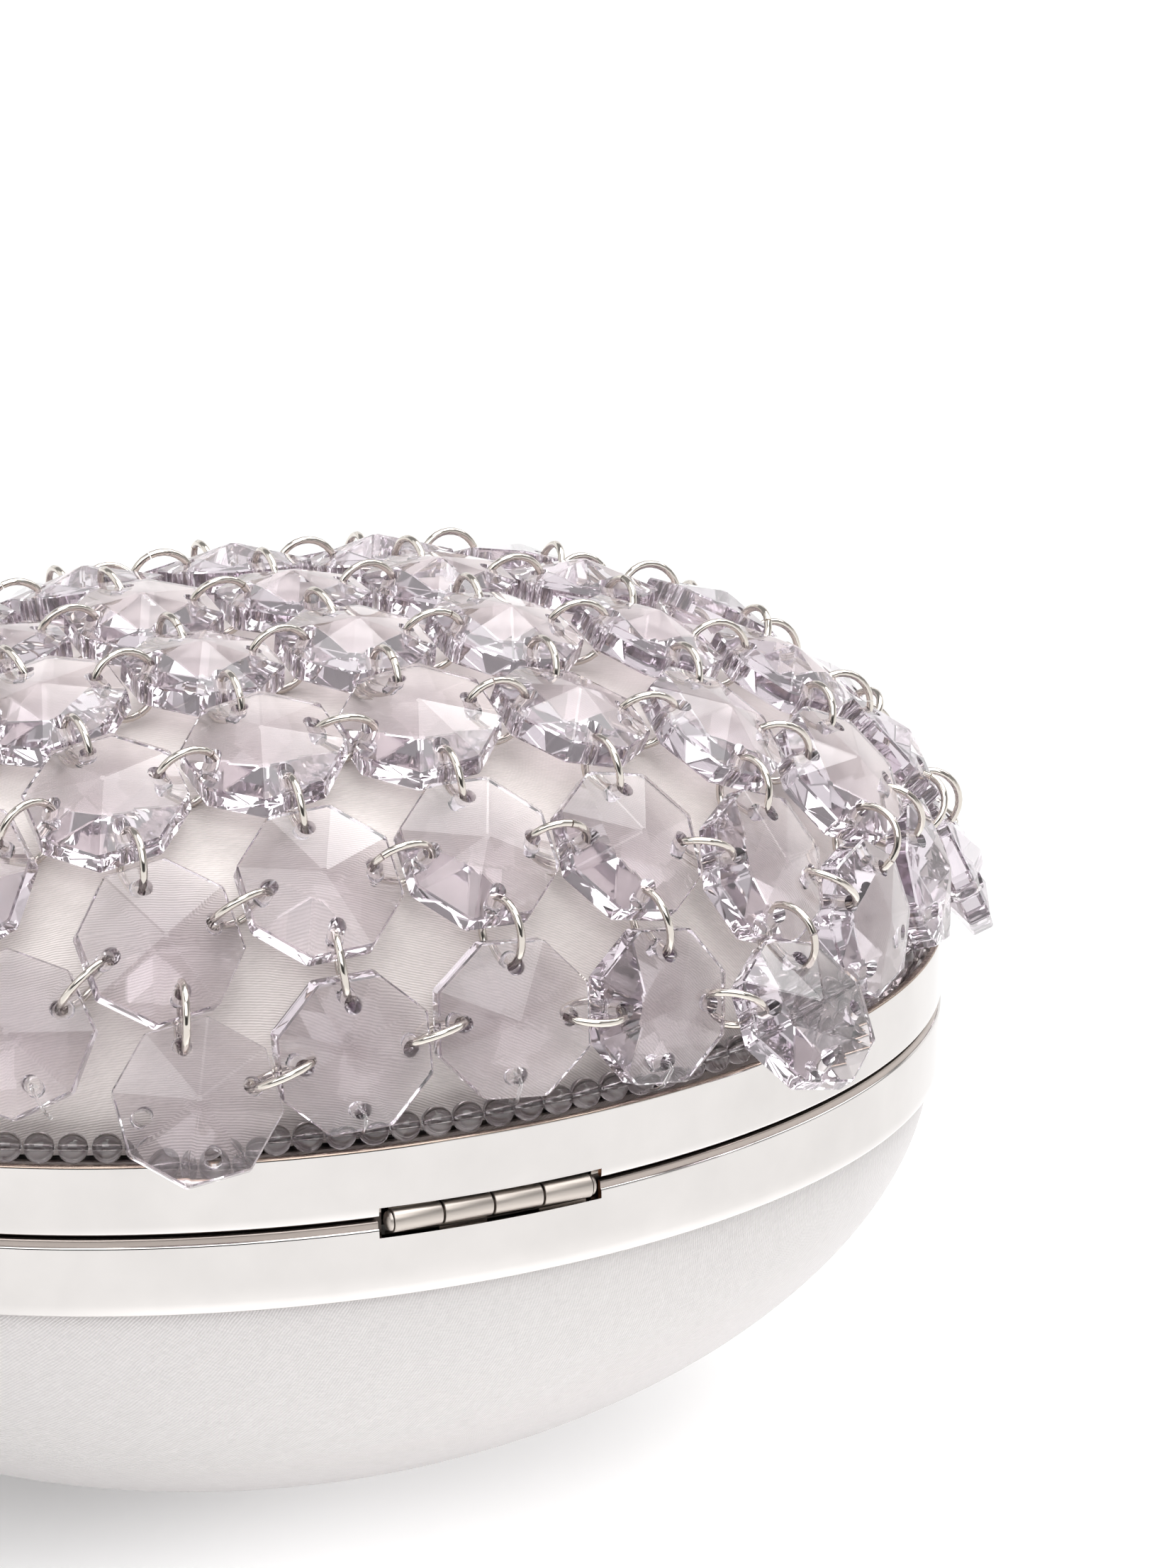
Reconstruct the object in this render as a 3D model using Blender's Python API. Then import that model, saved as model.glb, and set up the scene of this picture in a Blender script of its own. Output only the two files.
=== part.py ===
"""Oval hard-shell evening clutch with a net of octagon crystals on its lid.

The closed bag stands on the flat of its lower shell, at the origin.
+X runs along the oval, +Z is up, the hinge is at -Y and the push clasp at +Y.
Lengths are in metres.
"""
import math

import bmesh
import bpy
import numpy as np
from mathutils import Matrix, Vector

# Oval frame: two metal bands that meet at a parting groove
FRAME_LENGTH = 0.134
FRAME_WIDTH = 0.098
LOWER_BAND_HEIGHT = 0.0067
UPPER_BAND_HEIGHT = 0.0066
PARTING_GROOVE = 0.0011
BAND_WALL = 0.0008
BAND_EDGE_BREAK = 0.0002
GROOVE_BEAD_INSET = 0.0003
GROOVE_BEAD_RISE = 0.0005
GROOVE_BEAD_SHOULDER_SHARE = 0.3
LEDGE_THICKNESS = 0.0008
LEDGE_DROP = 0.00095
LEDGE_MARGIN = 0.0003
FRAME_SEGMENTS = 40

# Clearances between pieces that touch on the real bag
TOUCH_GAP = 0.0003
SHELL_GAP = 0.0008
CUT_OVERRUN = 0.004

# Lower half: satin-covered bowl with its lining
BOWL_DEPTH = 0.0343
BOWL_FLAT_SHARE = 0.2
BOWL_SIDE_POWER = 1.9
BOWL_DEPTH_POWER = 1.9
SATIN_THICKNESS = 0.0005
SHELL_THICKNESS = 0.001
LINING_THICKNESS = 0.0005
SATIN_TUCK = 0.0016
LOWER_RIM_DROP = 0.00065
COVER_SEGMENTS = FRAME_SEGMENTS
COVER_STEPS = 6
SHELL_SEGMENTS = FRAME_SEGMENTS // 2
SHELL_STEPS = COVER_STEPS // 2

# Closing lip: the strip inside the lower band that enters the upper band
LIP_THICKNESS = 0.0005
LIP_RISE = 0.0036
LIP_FOOT_DROP = 0.0046

# Upper half: satin dome behind one row of seed beads
DOME_RISE = 0.03175
DOME_SIDE_POWER = 2.6
DOME_RISE_POWER = 2.3
SEED_BEAD_DIAMETER = 0.0029
SEED_BEAD_GAP = 0.00035
SEED_BEAD_WAIST_SHARE = 0.62
SEED_BEAD_SIDES = 4

# Crystal net: octagons of four holes, joined by jump rings
CRYSTAL_ACROSS_FLATS = 0.014
CRYSTAL_THICKNESS = 0.0066
CRYSTAL_GIRDLE = 0.002
CRYSTAL_HOLE_WIDTH = 0.0017
CRYSTAL_HOLE_RADIUS = 0.0049
CRYSTAL_FACETS = 8
NET_PITCH = 0.0152
NET_START_X = 0.0027
NET_START_Y = 0.0034
NET_FOOT_GAP = 0.0003
EDGE_PITCH = 0.0145
EDGE_OVERHANG = 0.0036
EDGE_LEAN_LIMIT = 22.0
LEAN_STEPS = 44
ROOM_SHARE = 0.97
PROBE_STEPS = 8
RING_RADIUS = 0.003175
RING_WIRE_RADIUS = 0.0003
RING_LIFT = 0.0003
RING_SIDES = 6
RING_WIRE_SIDES = 3

# Search for the net's places: most steps out, first guesses and when to stop
NET_REACH = 8
AXIS_FALL_SHARE = 0.2
FIELD_FALL_SHARE = 0.1
SEARCH_ROUNDS = 60
SEARCH_NUDGE = 1e-6
SEARCH_STRIDE = 0.15
CLOSE_ENOUGH_SHARE = 1e-8
TOO_FLAT_SHARE = 1e-9

# Hinge: four knuckles on one pin, lying in a slot through both bands
HINGE_LENGTH = 0.0206
HINGE_SLOT_CLEARANCE = 0.0006
HINGE_SLOT_HEIGHT = 0.0029
HINGE_INSET = 0.0009
KNUCKLE_RADIUS = 0.0011
KNUCKLE_COUNT = 4
KNUCKLE_GAP = 0.0002
KNUCKLE_BORE_RADIUS = 0.0006
PIN_RADIUS = 0.00043
PIN_HEAD_LENGTH = 0.0005
PIN_HEAD_RADIUS = 0.00095
PIN_HEAD_SHARES = [(0.0, 0.45), (0.45, 0.9), (0.9, 1.0)]
LEAF_THICKNESS = 0.0005
LEAF_HEIGHT = 0.0036
BARREL_SEGMENTS = 12

# Push clasp at the front: button with a bolt, catch, spring and bracket
BUTTON_WIDTH = 0.008
BUTTON_HEIGHT = 0.003
BUTTON_PROUD = 0.0012
BUTTON_TRAVEL = 0.0012
BUTTON_CENTRE_RISE = 0.0033
BUTTON_CLEARANCE = 0.0003
BUTTON_CROWN = 0.0004
BUTTON_CROWN_STEPS = 2
BOLT_WIDTH = 0.005
BOLT_THICKNESS = 0.001
BOLT_TOOTH_WIDTH = 0.0036
BOLT_TOOTH_HEIGHT = 0.0008
BOLT_ENGAGEMENT = 0.0004
CATCH_WIDTH = 0.013
CATCH_BAR_HEIGHT = 0.0009
CATCH_TOP_RISE = 0.0014
SPRING_RADIUS = 0.0011
SPRING_WIRE_RADIUS = 0.00015
SPRING_RESERVE = 0.0004
SPRING_TURNS = 3
SPRING_POINTS_PER_TURN = 8
SPRING_WIRE_SIDES = 4
BRACKET_WIDTH = 0.008
BRACKET_THICKNESS = 0.0005
BRACKET_FOOT_DEPTH = 0.0016
BRACKET_HEIGHT = 0.0036

# Half axes and levels worked out from the sizes above
HALF_LENGTH = FRAME_LENGTH / 2
HALF_WIDTH = FRAME_WIDTH / 2
LOWER_EDGE_Z = BOWL_DEPTH
LOWER_TOP_Z = LOWER_EDGE_Z + LOWER_BAND_HEIGHT
PARTING_Z = LOWER_TOP_Z + PARTING_GROOVE / 2
UPPER_EDGE_Z = LOWER_TOP_Z + PARTING_GROOVE
UPPER_TOP_Z = UPPER_EDGE_Z + UPPER_BAND_HEIGHT
LEDGE_TOP_Z = UPPER_TOP_Z - LEDGE_DROP
LEDGE_BOTTOM_Z = LEDGE_TOP_Z - LEDGE_THICKNESS
DOME_BASE_Z = LEDGE_TOP_Z + TOUCH_GAP
LOWER_RIM_Z = LOWER_TOP_Z - LOWER_RIM_DROP

# Insets from the outer face of the bands
LIP_INSET = BAND_WALL + TOUCH_GAP
BOWL_INSET = BAND_WALL + TOUCH_GAP
BEAD_ROW_INSET = BAND_WALL + SEED_BEAD_GAP + SEED_BEAD_DIAMETER / 2
DOME_INSET = BEAD_ROW_INSET + SEED_BEAD_DIAMETER / 2 + SEED_BEAD_GAP
DOME_SHELL_INSET = DOME_INSET + SATIN_THICKNESS + SHELL_GAP
LEDGE_INSET = DOME_SHELL_INSET + SHELL_THICKNESS + LEDGE_MARGIN
BOWL_SHELL_INSET = BOWL_INSET + SATIN_THICKNESS + SHELL_GAP

# The crystals' mean surface lies this far outside the satin dome
NET_STAND_OFF = CRYSTAL_THICKNESS / 2 + TOUCH_GAP

# The spring at rest leaves the button its travel before its turns close up
SPRING_LENGTH = BUTTON_TRAVEL + (SPRING_TURNS + 1) * 2 * SPRING_WIRE_RADIUS + SPRING_RESERVE

HINGE_SLOT_LENGTH = HINGE_LENGTH + 2 * HINGE_SLOT_CLEARANCE
HINGE_Y = -(HALF_WIDTH - HINGE_INSET)
BUTTON_Z = PARTING_Z + BUTTON_CENTRE_RISE

SATIN = ("satin", (0.86, 0.84, 0.83), 0.55, 0.0)
BOARD = ("shell_board", (0.55, 0.54, 0.52), 0.7, 0.0)
LINING = ("lining_satin", (0.8, 0.78, 0.76), 0.5, 0.0)
SILVER = ("polished_silver", (0.92, 0.91, 0.9), 0.08, 1.0)
NICKEL = ("brushed_nickel", (0.72, 0.68, 0.64), 0.3, 1.0)
STEEL = ("spring_steel", (0.6, 0.6, 0.62), 0.3, 1.0)
CRYSTAL = ("crystal", (0.9, 0.88, 0.93), 0.05, 0.0)
BEAD = ("smoke_bead", (0.4, 0.38, 0.4), 0.1, 0.0)

# Edges sharper than these angles, in degrees, stay sharp
SMOOTH_ANGLE = 35.0
ROUND_ANGLE = 60.0
FACET_ANGLE = 1.0


def material_of(finish):
    """Returns the Principled material of a finish, made once."""
    name, colour, roughness, metallic = finish
    material = bpy.data.materials.get(name)
    if material is None:
        material = bpy.data.materials.new(name)
        material.use_nodes = True
        shader = material.node_tree.nodes["Principled BSDF"]
        shader.inputs["Base Color"].default_value = (*colour, 1.0)
        shader.inputs["Roughness"].default_value = roughness
        shader.inputs["Metallic"].default_value = metallic
    return material


def finish_object(name, bm, finish, parent=None, smooth_angle=SMOOTH_ANGLE):
    """Turns a bmesh into a named, outward-facing object on its joint's empty."""
    bmesh.ops.recalc_face_normals(bm, faces=bm.faces)
    mesh = bpy.data.meshes.new(name)
    bm.to_mesh(mesh)
    bm.free()
    mesh.shade_smooth()
    mesh.set_sharp_from_angle(angle=math.radians(smooth_angle))
    obj = bpy.data.objects.new(name, mesh)
    obj.data.materials.append(material_of(finish))
    bpy.context.scene.collection.objects.link(obj)
    if parent is not None:
        obj.parent = parent
        obj.matrix_parent_inverse = parent.matrix_world.inverted()
    return obj


def joint_empty(name, place):
    """Adds an empty on a joint's axis, for the pieces that move with it."""
    empty = bpy.data.objects.new(name, None)
    empty.matrix_world = Matrix.Translation(place)
    bpy.context.scene.collection.objects.link(empty)
    return empty


def oval_point(angle, inset, z, share=1.0):
    """Gives the point of an inset oval at an angle, drawn in by a share."""
    x = (HALF_LENGTH - inset) * share * math.cos(angle)
    y = (HALF_WIDTH - inset) * share * math.sin(angle)
    return Vector((x, y, z))


def sweep_oval(bm, profile, angles, closed):
    """Sweeps a closed profile of (inset, z) or (inset, z, share) round the oval."""
    loops = []
    for angle in angles:
        loops.append([bm.verts.new(oval_point(angle, *point)) for point in profile])
    steps = len(loops) if closed else len(loops) - 1
    size = len(profile)
    for step in range(steps):
        here = loops[step]
        there = loops[(step + 1) % len(loops)]
        for corner in range(size):
            after = (corner + 1) % size
            bm.faces.new((here[corner], there[corner], there[after], here[after]))
    if not closed:
        bm.faces.new(loops[0])
        bm.faces.new(reversed(loops[-1]))


def turn_dish(bm, outer, inner, segments):
    """Closes a dish from two lists of oval rings, each ending at its pole's level."""
    angles = full_turn(segments)

    def skin(levels):
        rings = []
        for inset, z, share in levels[:-1]:
            rings.append([bm.verts.new(oval_point(angle, inset, z, share)) for angle in angles])
        for above, below in zip(rings, rings[1:]):
            for step in range(segments):
                after = (step + 1) % segments
                bm.faces.new((above[step], above[after], below[after], below[step]))
        last = rings[-1]
        if levels[-1][1] == levels[-2][1]:
            bm.faces.new(last)
        else:
            pole = bm.verts.new((0, 0, levels[-1][1]))
            for step in range(segments):
                bm.faces.new((last[step], last[(step + 1) % segments], pole))
        return rings[0]

    outer_rim = skin(outer)
    inner_rim = skin(inner)
    for step in range(segments):
        after = (step + 1) % segments
        bm.faces.new((outer_rim[step], outer_rim[after], inner_rim[after], inner_rim[step]))


def bowl_levels(inset, rim_z, depth, steps):
    """Lists the rings of the bowl's skin, from its rim down to its flat."""
    flat_angle = math.asin(BOWL_FLAT_SHARE ** (BOWL_SIDE_POWER / 2))
    full_depth = depth / math.cos(flat_angle) ** (2 / BOWL_DEPTH_POWER)
    levels = [(inset, rim_z, 1.0)]
    for step in range(steps + 1):
        turn = math.pi / 2 + (flat_angle - math.pi / 2) * step / steps
        share = math.sin(turn) ** (2 / BOWL_SIDE_POWER)
        fall = full_depth * max(math.cos(turn), 0.0) ** (2 / BOWL_DEPTH_POWER)
        levels.append((inset, LOWER_EDGE_Z - fall, share))
    levels.append((inset, levels[-1][1], 0.0))
    return levels


def dome_levels(inset, base_z, top_z, steps):
    """Lists the rings of the dome's skin, from its foot up to its pole."""
    levels = []
    for step in range(steps):
        turn = math.pi / 2 * (1 - step / steps)
        share = math.sin(turn) ** (2 / DOME_SIDE_POWER)
        rise = (top_z - base_z) * max(math.cos(turn), 0.0) ** (2 / DOME_RISE_POWER)
        levels.append((inset, base_z + rise, share))
    levels.append((inset, top_z, 0.0))
    return levels


def full_turn(segments):
    """Lists the angles of a whole turn round the oval."""
    return [2 * math.pi * step / segments for step in range(segments)]


def part_turn(start, end):
    """Lists start, end and the frame's own angles between, so that the strips nest."""
    pitch = 2 * math.pi / FRAME_SEGMENTS
    first = math.floor(start / pitch) + 1
    last = math.ceil(end / pitch) - 1
    return [start, *(pitch * step for step in range(first, last + 1)), end]


def add_box(bm, low, high):
    """Adds a closed box between two corners."""
    size = Vector(high) - Vector(low)
    centre = (Vector(high) + Vector(low)) / 2
    place = Matrix.Translation(centre) @ Matrix.Diagonal((*size, 1.0))
    bmesh.ops.create_cube(bm, size=1.0, matrix=place)


def add_barrel(bm, start_x, end_x, profile, segments):
    """Turns a profile of (x share, radius) about the hinge axis."""
    loops = []
    for share, radius in profile:
        x = start_x + (end_x - start_x) * share
        loop = []
        for step in range(segments):
            angle = 2 * math.pi * (step + 0.5) / segments
            y = HINGE_Y + radius * math.cos(angle)
            z = PARTING_Z + radius * math.sin(angle)
            loop.append(bm.verts.new((x, y, z)))
        loops.append(loop)
    return loops


def bridge(bm, one, other):
    """Joins two rings of the same count by quads."""
    size = len(one)
    for step in range(size):
        after = (step + 1) % size
        bm.faces.new((one[step], one[after], other[after], other[step]))


def join_by_union(obj, others):
    """Unites other objects into obj and removes them."""
    for other in others:
        modifier = obj.modifiers.new("join", "BOOLEAN")
        modifier.operation = "UNION"
        modifier.solver = "EXACT"
        modifier.object = other
        bake(obj)
        bpy.data.objects.remove(other, do_unlink=True)


def cut_away(obj, cutter_bm):
    """Cuts a bmesh out of obj."""
    cutter = finish_object("cutter", cutter_bm, NICKEL)
    modifier = obj.modifiers.new("cut", "BOOLEAN")
    modifier.operation = "DIFFERENCE"
    modifier.solver = "EXACT"
    modifier.object = cutter
    bake(obj)
    bpy.data.objects.remove(cutter, do_unlink=True)


def bake(obj):
    """Gives obj its evaluated mesh and drops its modifiers."""
    graph = bpy.context.evaluated_depsgraph_get()
    graph.update()
    mesh = bpy.data.meshes.new_from_object(obj.evaluated_get(graph))
    obj.modifiers.clear()
    obj.data = mesh


# Frame


def hinge_slot_cutter():
    """Makes the block that notches the hinge slot through both bands."""
    bm = bmesh.new()
    half = HINGE_SLOT_LENGTH / 2
    depth = HINGE_INSET + KNUCKLE_RADIUS + TOUCH_GAP
    low = (-half, -HALF_WIDTH - CUT_OVERRUN, PARTING_Z - HINGE_SLOT_HEIGHT / 2)
    high = (half, -HALF_WIDTH + depth, PARTING_Z + HINGE_SLOT_HEIGHT / 2)
    add_box(bm, low, high)
    return bm


def build_lower_frame():
    """Lower band: flat outer face with a rounded lip that shows in the groove."""
    shoulder = GROOVE_BEAD_INSET + (BAND_WALL - GROOVE_BEAD_INSET) * GROOVE_BEAD_SHOULDER_SHARE
    profile = [
        (0.0, LOWER_EDGE_Z + BAND_EDGE_BREAK),
        (0.0, LOWER_TOP_Z - BAND_EDGE_BREAK),
        (GROOVE_BEAD_INSET, LOWER_TOP_Z),
        (shoulder, LOWER_TOP_Z + GROOVE_BEAD_RISE),
        (BAND_WALL, LOWER_TOP_Z + GROOVE_BEAD_RISE),
        (BAND_WALL, LOWER_EDGE_Z),
        (BAND_EDGE_BREAK, LOWER_EDGE_Z),
    ]
    bm = bmesh.new()
    sweep_oval(bm, profile, full_turn(FRAME_SEGMENTS), closed=True)
    obj = finish_object("lower_frame", bm, SILVER)
    cut_away(obj, hinge_slot_cutter())


def build_upper_frame(lid):
    """Upper band: outer wall with a ledge inside that carries beads and dome."""
    profile = [
        (BAND_EDGE_BREAK, UPPER_EDGE_Z),
        (0.0, UPPER_EDGE_Z + BAND_EDGE_BREAK),
        (0.0, UPPER_TOP_Z - BAND_EDGE_BREAK),
        (BAND_EDGE_BREAK, UPPER_TOP_Z),
        (BAND_WALL, UPPER_TOP_Z),
        (BAND_WALL, LEDGE_TOP_Z),
        (LEDGE_INSET, LEDGE_TOP_Z),
        (LEDGE_INSET, LEDGE_BOTTOM_Z),
        (BAND_WALL, LEDGE_BOTTOM_Z),
        (BAND_WALL, UPPER_EDGE_Z),
    ]
    bm = bmesh.new()
    sweep_oval(bm, profile, full_turn(FRAME_SEGMENTS), closed=True)
    obj = finish_object("upper_frame", bm, SILVER, parent=lid)
    cut_away(obj, hinge_slot_cutter())
    window = bmesh.new()
    half = BUTTON_WIDTH / 2 + BUTTON_CLEARANCE
    rise = BUTTON_HEIGHT / 2 + BUTTON_CLEARANCE
    low = (-half, HALF_WIDTH - BAND_WALL - CUT_OVERRUN / 2, BUTTON_Z - rise)
    high = (half, HALF_WIDTH + CUT_OVERRUN, BUTTON_Z + rise)
    add_box(window, low, high)
    cut_away(obj, window)


def front_angle(half_width, inset):
    """Gives the oval's angle where a front zone of this half width ends."""
    return math.acos(half_width / (HALF_LENGTH - inset))


def build_closing_lips():
    """Closing lip: a strip on each side, from the hinge slot to the catch."""
    hinge_end = front_angle(HINGE_SLOT_LENGTH / 2 + TOUCH_GAP, LIP_INSET)
    catch_end = front_angle(CATCH_WIDTH / 2 + TOUCH_GAP, LIP_INSET)
    profile = [
        (LIP_INSET, LOWER_TOP_Z - LIP_FOOT_DROP),
        (LIP_INSET, PARTING_Z + LIP_RISE - BAND_EDGE_BREAK),
        (LIP_INSET + LIP_THICKNESS / 2, PARTING_Z + LIP_RISE),
        (LIP_INSET + LIP_THICKNESS, PARTING_Z + LIP_RISE - BAND_EDGE_BREAK),
        (LIP_INSET + LIP_THICKNESS, LOWER_TOP_Z - LIP_FOOT_DROP),
    ]
    right = bmesh.new()
    sweep_oval(right, profile, part_turn(-hinge_end, catch_end), closed=False)
    finish_object("closing_lip_right", right, NICKEL)
    left = bmesh.new()
    sweep_oval(left, profile, part_turn(math.pi - catch_end, math.pi + hinge_end), closed=False)
    finish_object("closing_lip_left", left, NICKEL)


# Shells


def build_bowl():
    """Lower satin cover, shell and lining, nested with their gaps."""
    shell_depth = BOWL_DEPTH - SATIN_THICKNESS - SHELL_GAP
    lining_inset = BOWL_SHELL_INSET + SHELL_THICKNESS + TOUCH_GAP
    lining_depth = shell_depth - SHELL_THICKNESS - TOUCH_GAP
    cover_rim = LOWER_EDGE_Z + SATIN_TUCK

    def add_skin(name, inset, rim_z, depth, wall, fineness, finish):
        segments, steps = fineness
        bm = bmesh.new()
        outer = bowl_levels(inset, rim_z, depth, steps)
        inner = bowl_levels(inset + wall, rim_z, depth - wall, steps)
        turn_dish(bm, outer, inner, segments)
        finish_object(name, bm, finish)

    fine = (COVER_SEGMENTS, COVER_STEPS)
    plain = (SHELL_SEGMENTS, SHELL_STEPS)
    add_skin("lower_satin_cover", BOWL_INSET, cover_rim, BOWL_DEPTH, SATIN_THICKNESS, fine, SATIN)
    add_skin("lower_shell", BOWL_SHELL_INSET, LOWER_RIM_Z, shell_depth, SHELL_THICKNESS, plain, BOARD)
    add_skin("lower_lining", lining_inset, LOWER_RIM_Z, lining_depth, LINING_THICKNESS, plain, LINING)


def build_dome(lid):
    """Upper satin cover, shell and lining, nested with their gaps."""
    top = DOME_BASE_Z + DOME_RISE
    shell_top = top - SATIN_THICKNESS - SHELL_GAP
    lining_inset = DOME_SHELL_INSET + SHELL_THICKNESS + LEDGE_MARGIN + TOUCH_GAP
    lining_top = shell_top - SHELL_THICKNESS - TOUCH_GAP - LEDGE_MARGIN

    def add_skin(name, inset, top_z, wall, fineness, finish):
        segments, steps = fineness
        bm = bmesh.new()
        outer = dome_levels(inset, DOME_BASE_Z, top_z, steps)
        inner = dome_levels(inset + wall, DOME_BASE_Z, top_z - wall, steps)
        turn_dish(bm, outer, inner, segments)
        finish_object(name, bm, finish, parent=lid)

    fine = (COVER_SEGMENTS, COVER_STEPS)
    plain = (SHELL_SEGMENTS, SHELL_STEPS)
    add_skin("upper_satin_cover", DOME_INSET, top, SATIN_THICKNESS, fine, SATIN)
    add_skin("upper_shell", DOME_SHELL_INSET, shell_top, SHELL_THICKNESS, plain, BOARD)
    add_skin("upper_lining", lining_inset, lining_top, LINING_THICKNESS, plain, LINING)


# Seed beads


def build_seed_bead_row(lid):
    """One strand of seed beads round the inside of the upper band's edge."""
    half_x = HALF_LENGTH - BEAD_ROW_INSET
    half_y = HALF_WIDTH - BEAD_ROW_INSET
    spread = math.sqrt((3 * half_x + half_y) * (half_x + 3 * half_y))
    girth = math.pi * (3 * (half_x + half_y) - spread)
    count = round(girth / (SEED_BEAD_DIAMETER + TOUCH_GAP / 2))
    radius = SEED_BEAD_DIAMETER / 2
    centre_z = LEDGE_TOP_Z + TOUCH_GAP + radius
    bm = bmesh.new()
    loops = []
    for step in range(2 * count):
        angle = math.pi * step / count
        reach = radius if step % 2 == 0 else radius * SEED_BEAD_WAIST_SHARE
        loop = []
        for side in range(SEED_BEAD_SIDES):
            turn = 2 * math.pi * side / SEED_BEAD_SIDES
            inset = BEAD_ROW_INSET - reach * math.cos(turn)
            loop.append(bm.verts.new(oval_point(angle, inset, centre_z + reach * math.sin(turn))))
        loops.append(loop)
    for step, loop in enumerate(loops):
        bridge(bm, loop, loops[(step + 1) % len(loops)])
    finish_object("seed_bead_row", bm, BEAD, parent=lid, smooth_angle=ROUND_ANGLE)


# Crystal net


class NetSurface:
    """The surface that the crystals' centres lie on, outside the satin dome."""

    def __init__(self):
        self.half_x = HALF_LENGTH - DOME_INSET
        self.half_y = HALF_WIDTH - DOME_INSET

    def place(self, turn, heading):
        """Gives the point and outward normal at a turn from the pole and a heading."""
        share = max(math.sin(turn), 0.0) ** (2 / DOME_SIDE_POWER)
        rise = max(math.cos(turn), 0.0) ** (2 / DOME_RISE_POWER)
        x = self.half_x * share * math.cos(heading)
        y = self.half_y * share * math.sin(heading)
        lean = DOME_SIDE_POWER * share ** (DOME_SIDE_POWER - 2)
        normal = np.array([
            lean * x / self.half_x ** 2,
            lean * y / self.half_y ** 2,
            DOME_RISE_POWER * rise ** (DOME_RISE_POWER - 1) / DOME_RISE,
        ])
        normal /= np.linalg.norm(normal)
        foot = np.array([x, y, DOME_BASE_Z + DOME_RISE * rise])
        return foot + NET_STAND_OFF * normal, normal

    def guess(self, point):
        """Gives a turn and heading near a point in space."""
        share_x = point[0] / (self.half_x + NET_STAND_OFF)
        share_y = point[1] / (self.half_y + NET_STAND_OFF)
        share = math.hypot(share_x, share_y)
        rise = max((point[2] - DOME_BASE_Z) / (DOME_RISE + NET_STAND_OFF), 0.0)
        turn = math.atan2(share ** (DOME_SIDE_POWER / 2), rise ** (DOME_RISE_POWER / 2))
        heading = math.atan2(point[1] / self.half_y, point[0] / self.half_x)
        return np.array([turn, heading])

    def solve(self, misses, near):
        """Finds the place where two distances are met, by Newton steps, or None."""
        spot = self.guess(near)
        for _ in range(SEARCH_ROUNDS):
            miss = misses(self.place(*spot)[0])
            if np.abs(miss).max() < NET_PITCH * CLOSE_ENOUGH_SHARE:
                return spot
            slope = np.zeros((2, 2))
            for axis in range(2):
                moved = spot.copy()
                moved[axis] += SEARCH_NUDGE
                slope[:, axis] = (misses(self.place(*moved)[0]) - miss) / SEARCH_NUDGE
            if abs(np.linalg.det(slope)) < NET_PITCH ** 2 * TOO_FLAT_SHARE:
                return None
            spot = spot - np.clip(np.linalg.solve(slope, miss), -SEARCH_STRIDE, SEARCH_STRIDE)
            if not 0 < spot[0] < math.pi / 2:
                return None
        return None


def lowest_reach(normal):
    """Says how far an upright crystal reaches below its centre."""
    flat = CRYSTAL_ACROSS_FLATS / 2
    upright = math.sqrt(max(1 - normal[2] ** 2, 0.0))
    return flat * upright + CRYSTAL_GIRDLE / 2 * abs(normal[2])


def off_band(point):
    """Says how far a point lies outside the bands' outer face."""
    share_x = point[0] / HALF_LENGTH
    share_y = point[1] / HALF_WIDTH
    share = math.hypot(share_x, share_y)
    slope = math.hypot(share_x / HALF_LENGTH, share_y / HALF_WIDTH) / share
    return (share - 1) / slope


def back_points(point, level, rise, normal):
    """Lists points on the lower half of a crystal's back, from its tip to its rim."""
    flat = CRYSTAL_ACROSS_FLATS / 2
    girdle = CRYSTAL_GIRDLE / 2
    points = []
    for half_facet in range(-3, 4):
        angle = math.pi * half_facet / CRYSTAL_FACETS
        reach = flat if half_facet % 2 == 0 else flat / math.cos(math.pi / CRYSTAL_FACETS)
        way = level * math.sin(angle) - rise * math.cos(angle)
        for step in range(1, PROBE_STEPS + 1):
            share = step / PROBE_STEPS
            depth = girdle + (CRYSTAL_THICKNESS / 2 - girdle) * (1 - share)
            points.append(point + way * reach * share - normal * depth)
    return points


def lean_out(point, normal, limit):
    """Leans a low crystal about its upper edge until its back clears the band.

    Returns its point and normal, unchanged where it ends above the band's top, or
    None where the limit, in degrees, isn't enough.
    """
    if point[2] - lowest_reach(normal) >= UPPER_TOP_Z + NET_FOOT_GAP:
        return point, normal
    level = np.array([-normal[1], normal[0], 0.0])
    level /= np.linalg.norm(level)
    rise = np.cross(normal, level)
    flat = CRYSTAL_ACROSS_FLATS / 2
    for step in range(1, LEAN_STEPS + 1):
        turn = math.radians(limit) * step / LEAN_STEPS
        leaned_rise = rise * math.cos(turn) - normal * math.sin(turn)
        leaned = normal * math.cos(turn) + rise * math.sin(turn)
        centre = point + (rise - leaned_rise) * flat
        probes = back_points(centre, level, leaned_rise, leaned)
        low = [probe for probe in probes if probe[2] < UPPER_TOP_Z + TOUCH_GAP]
        if all(off_band(probe) >= TOUCH_GAP for probe in low):
            held = centre[2] - lowest_reach(leaned) >= UPPER_TOP_Z - EDGE_OVERHANG
            return (centre, leaned) if held else None
    return None


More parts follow.
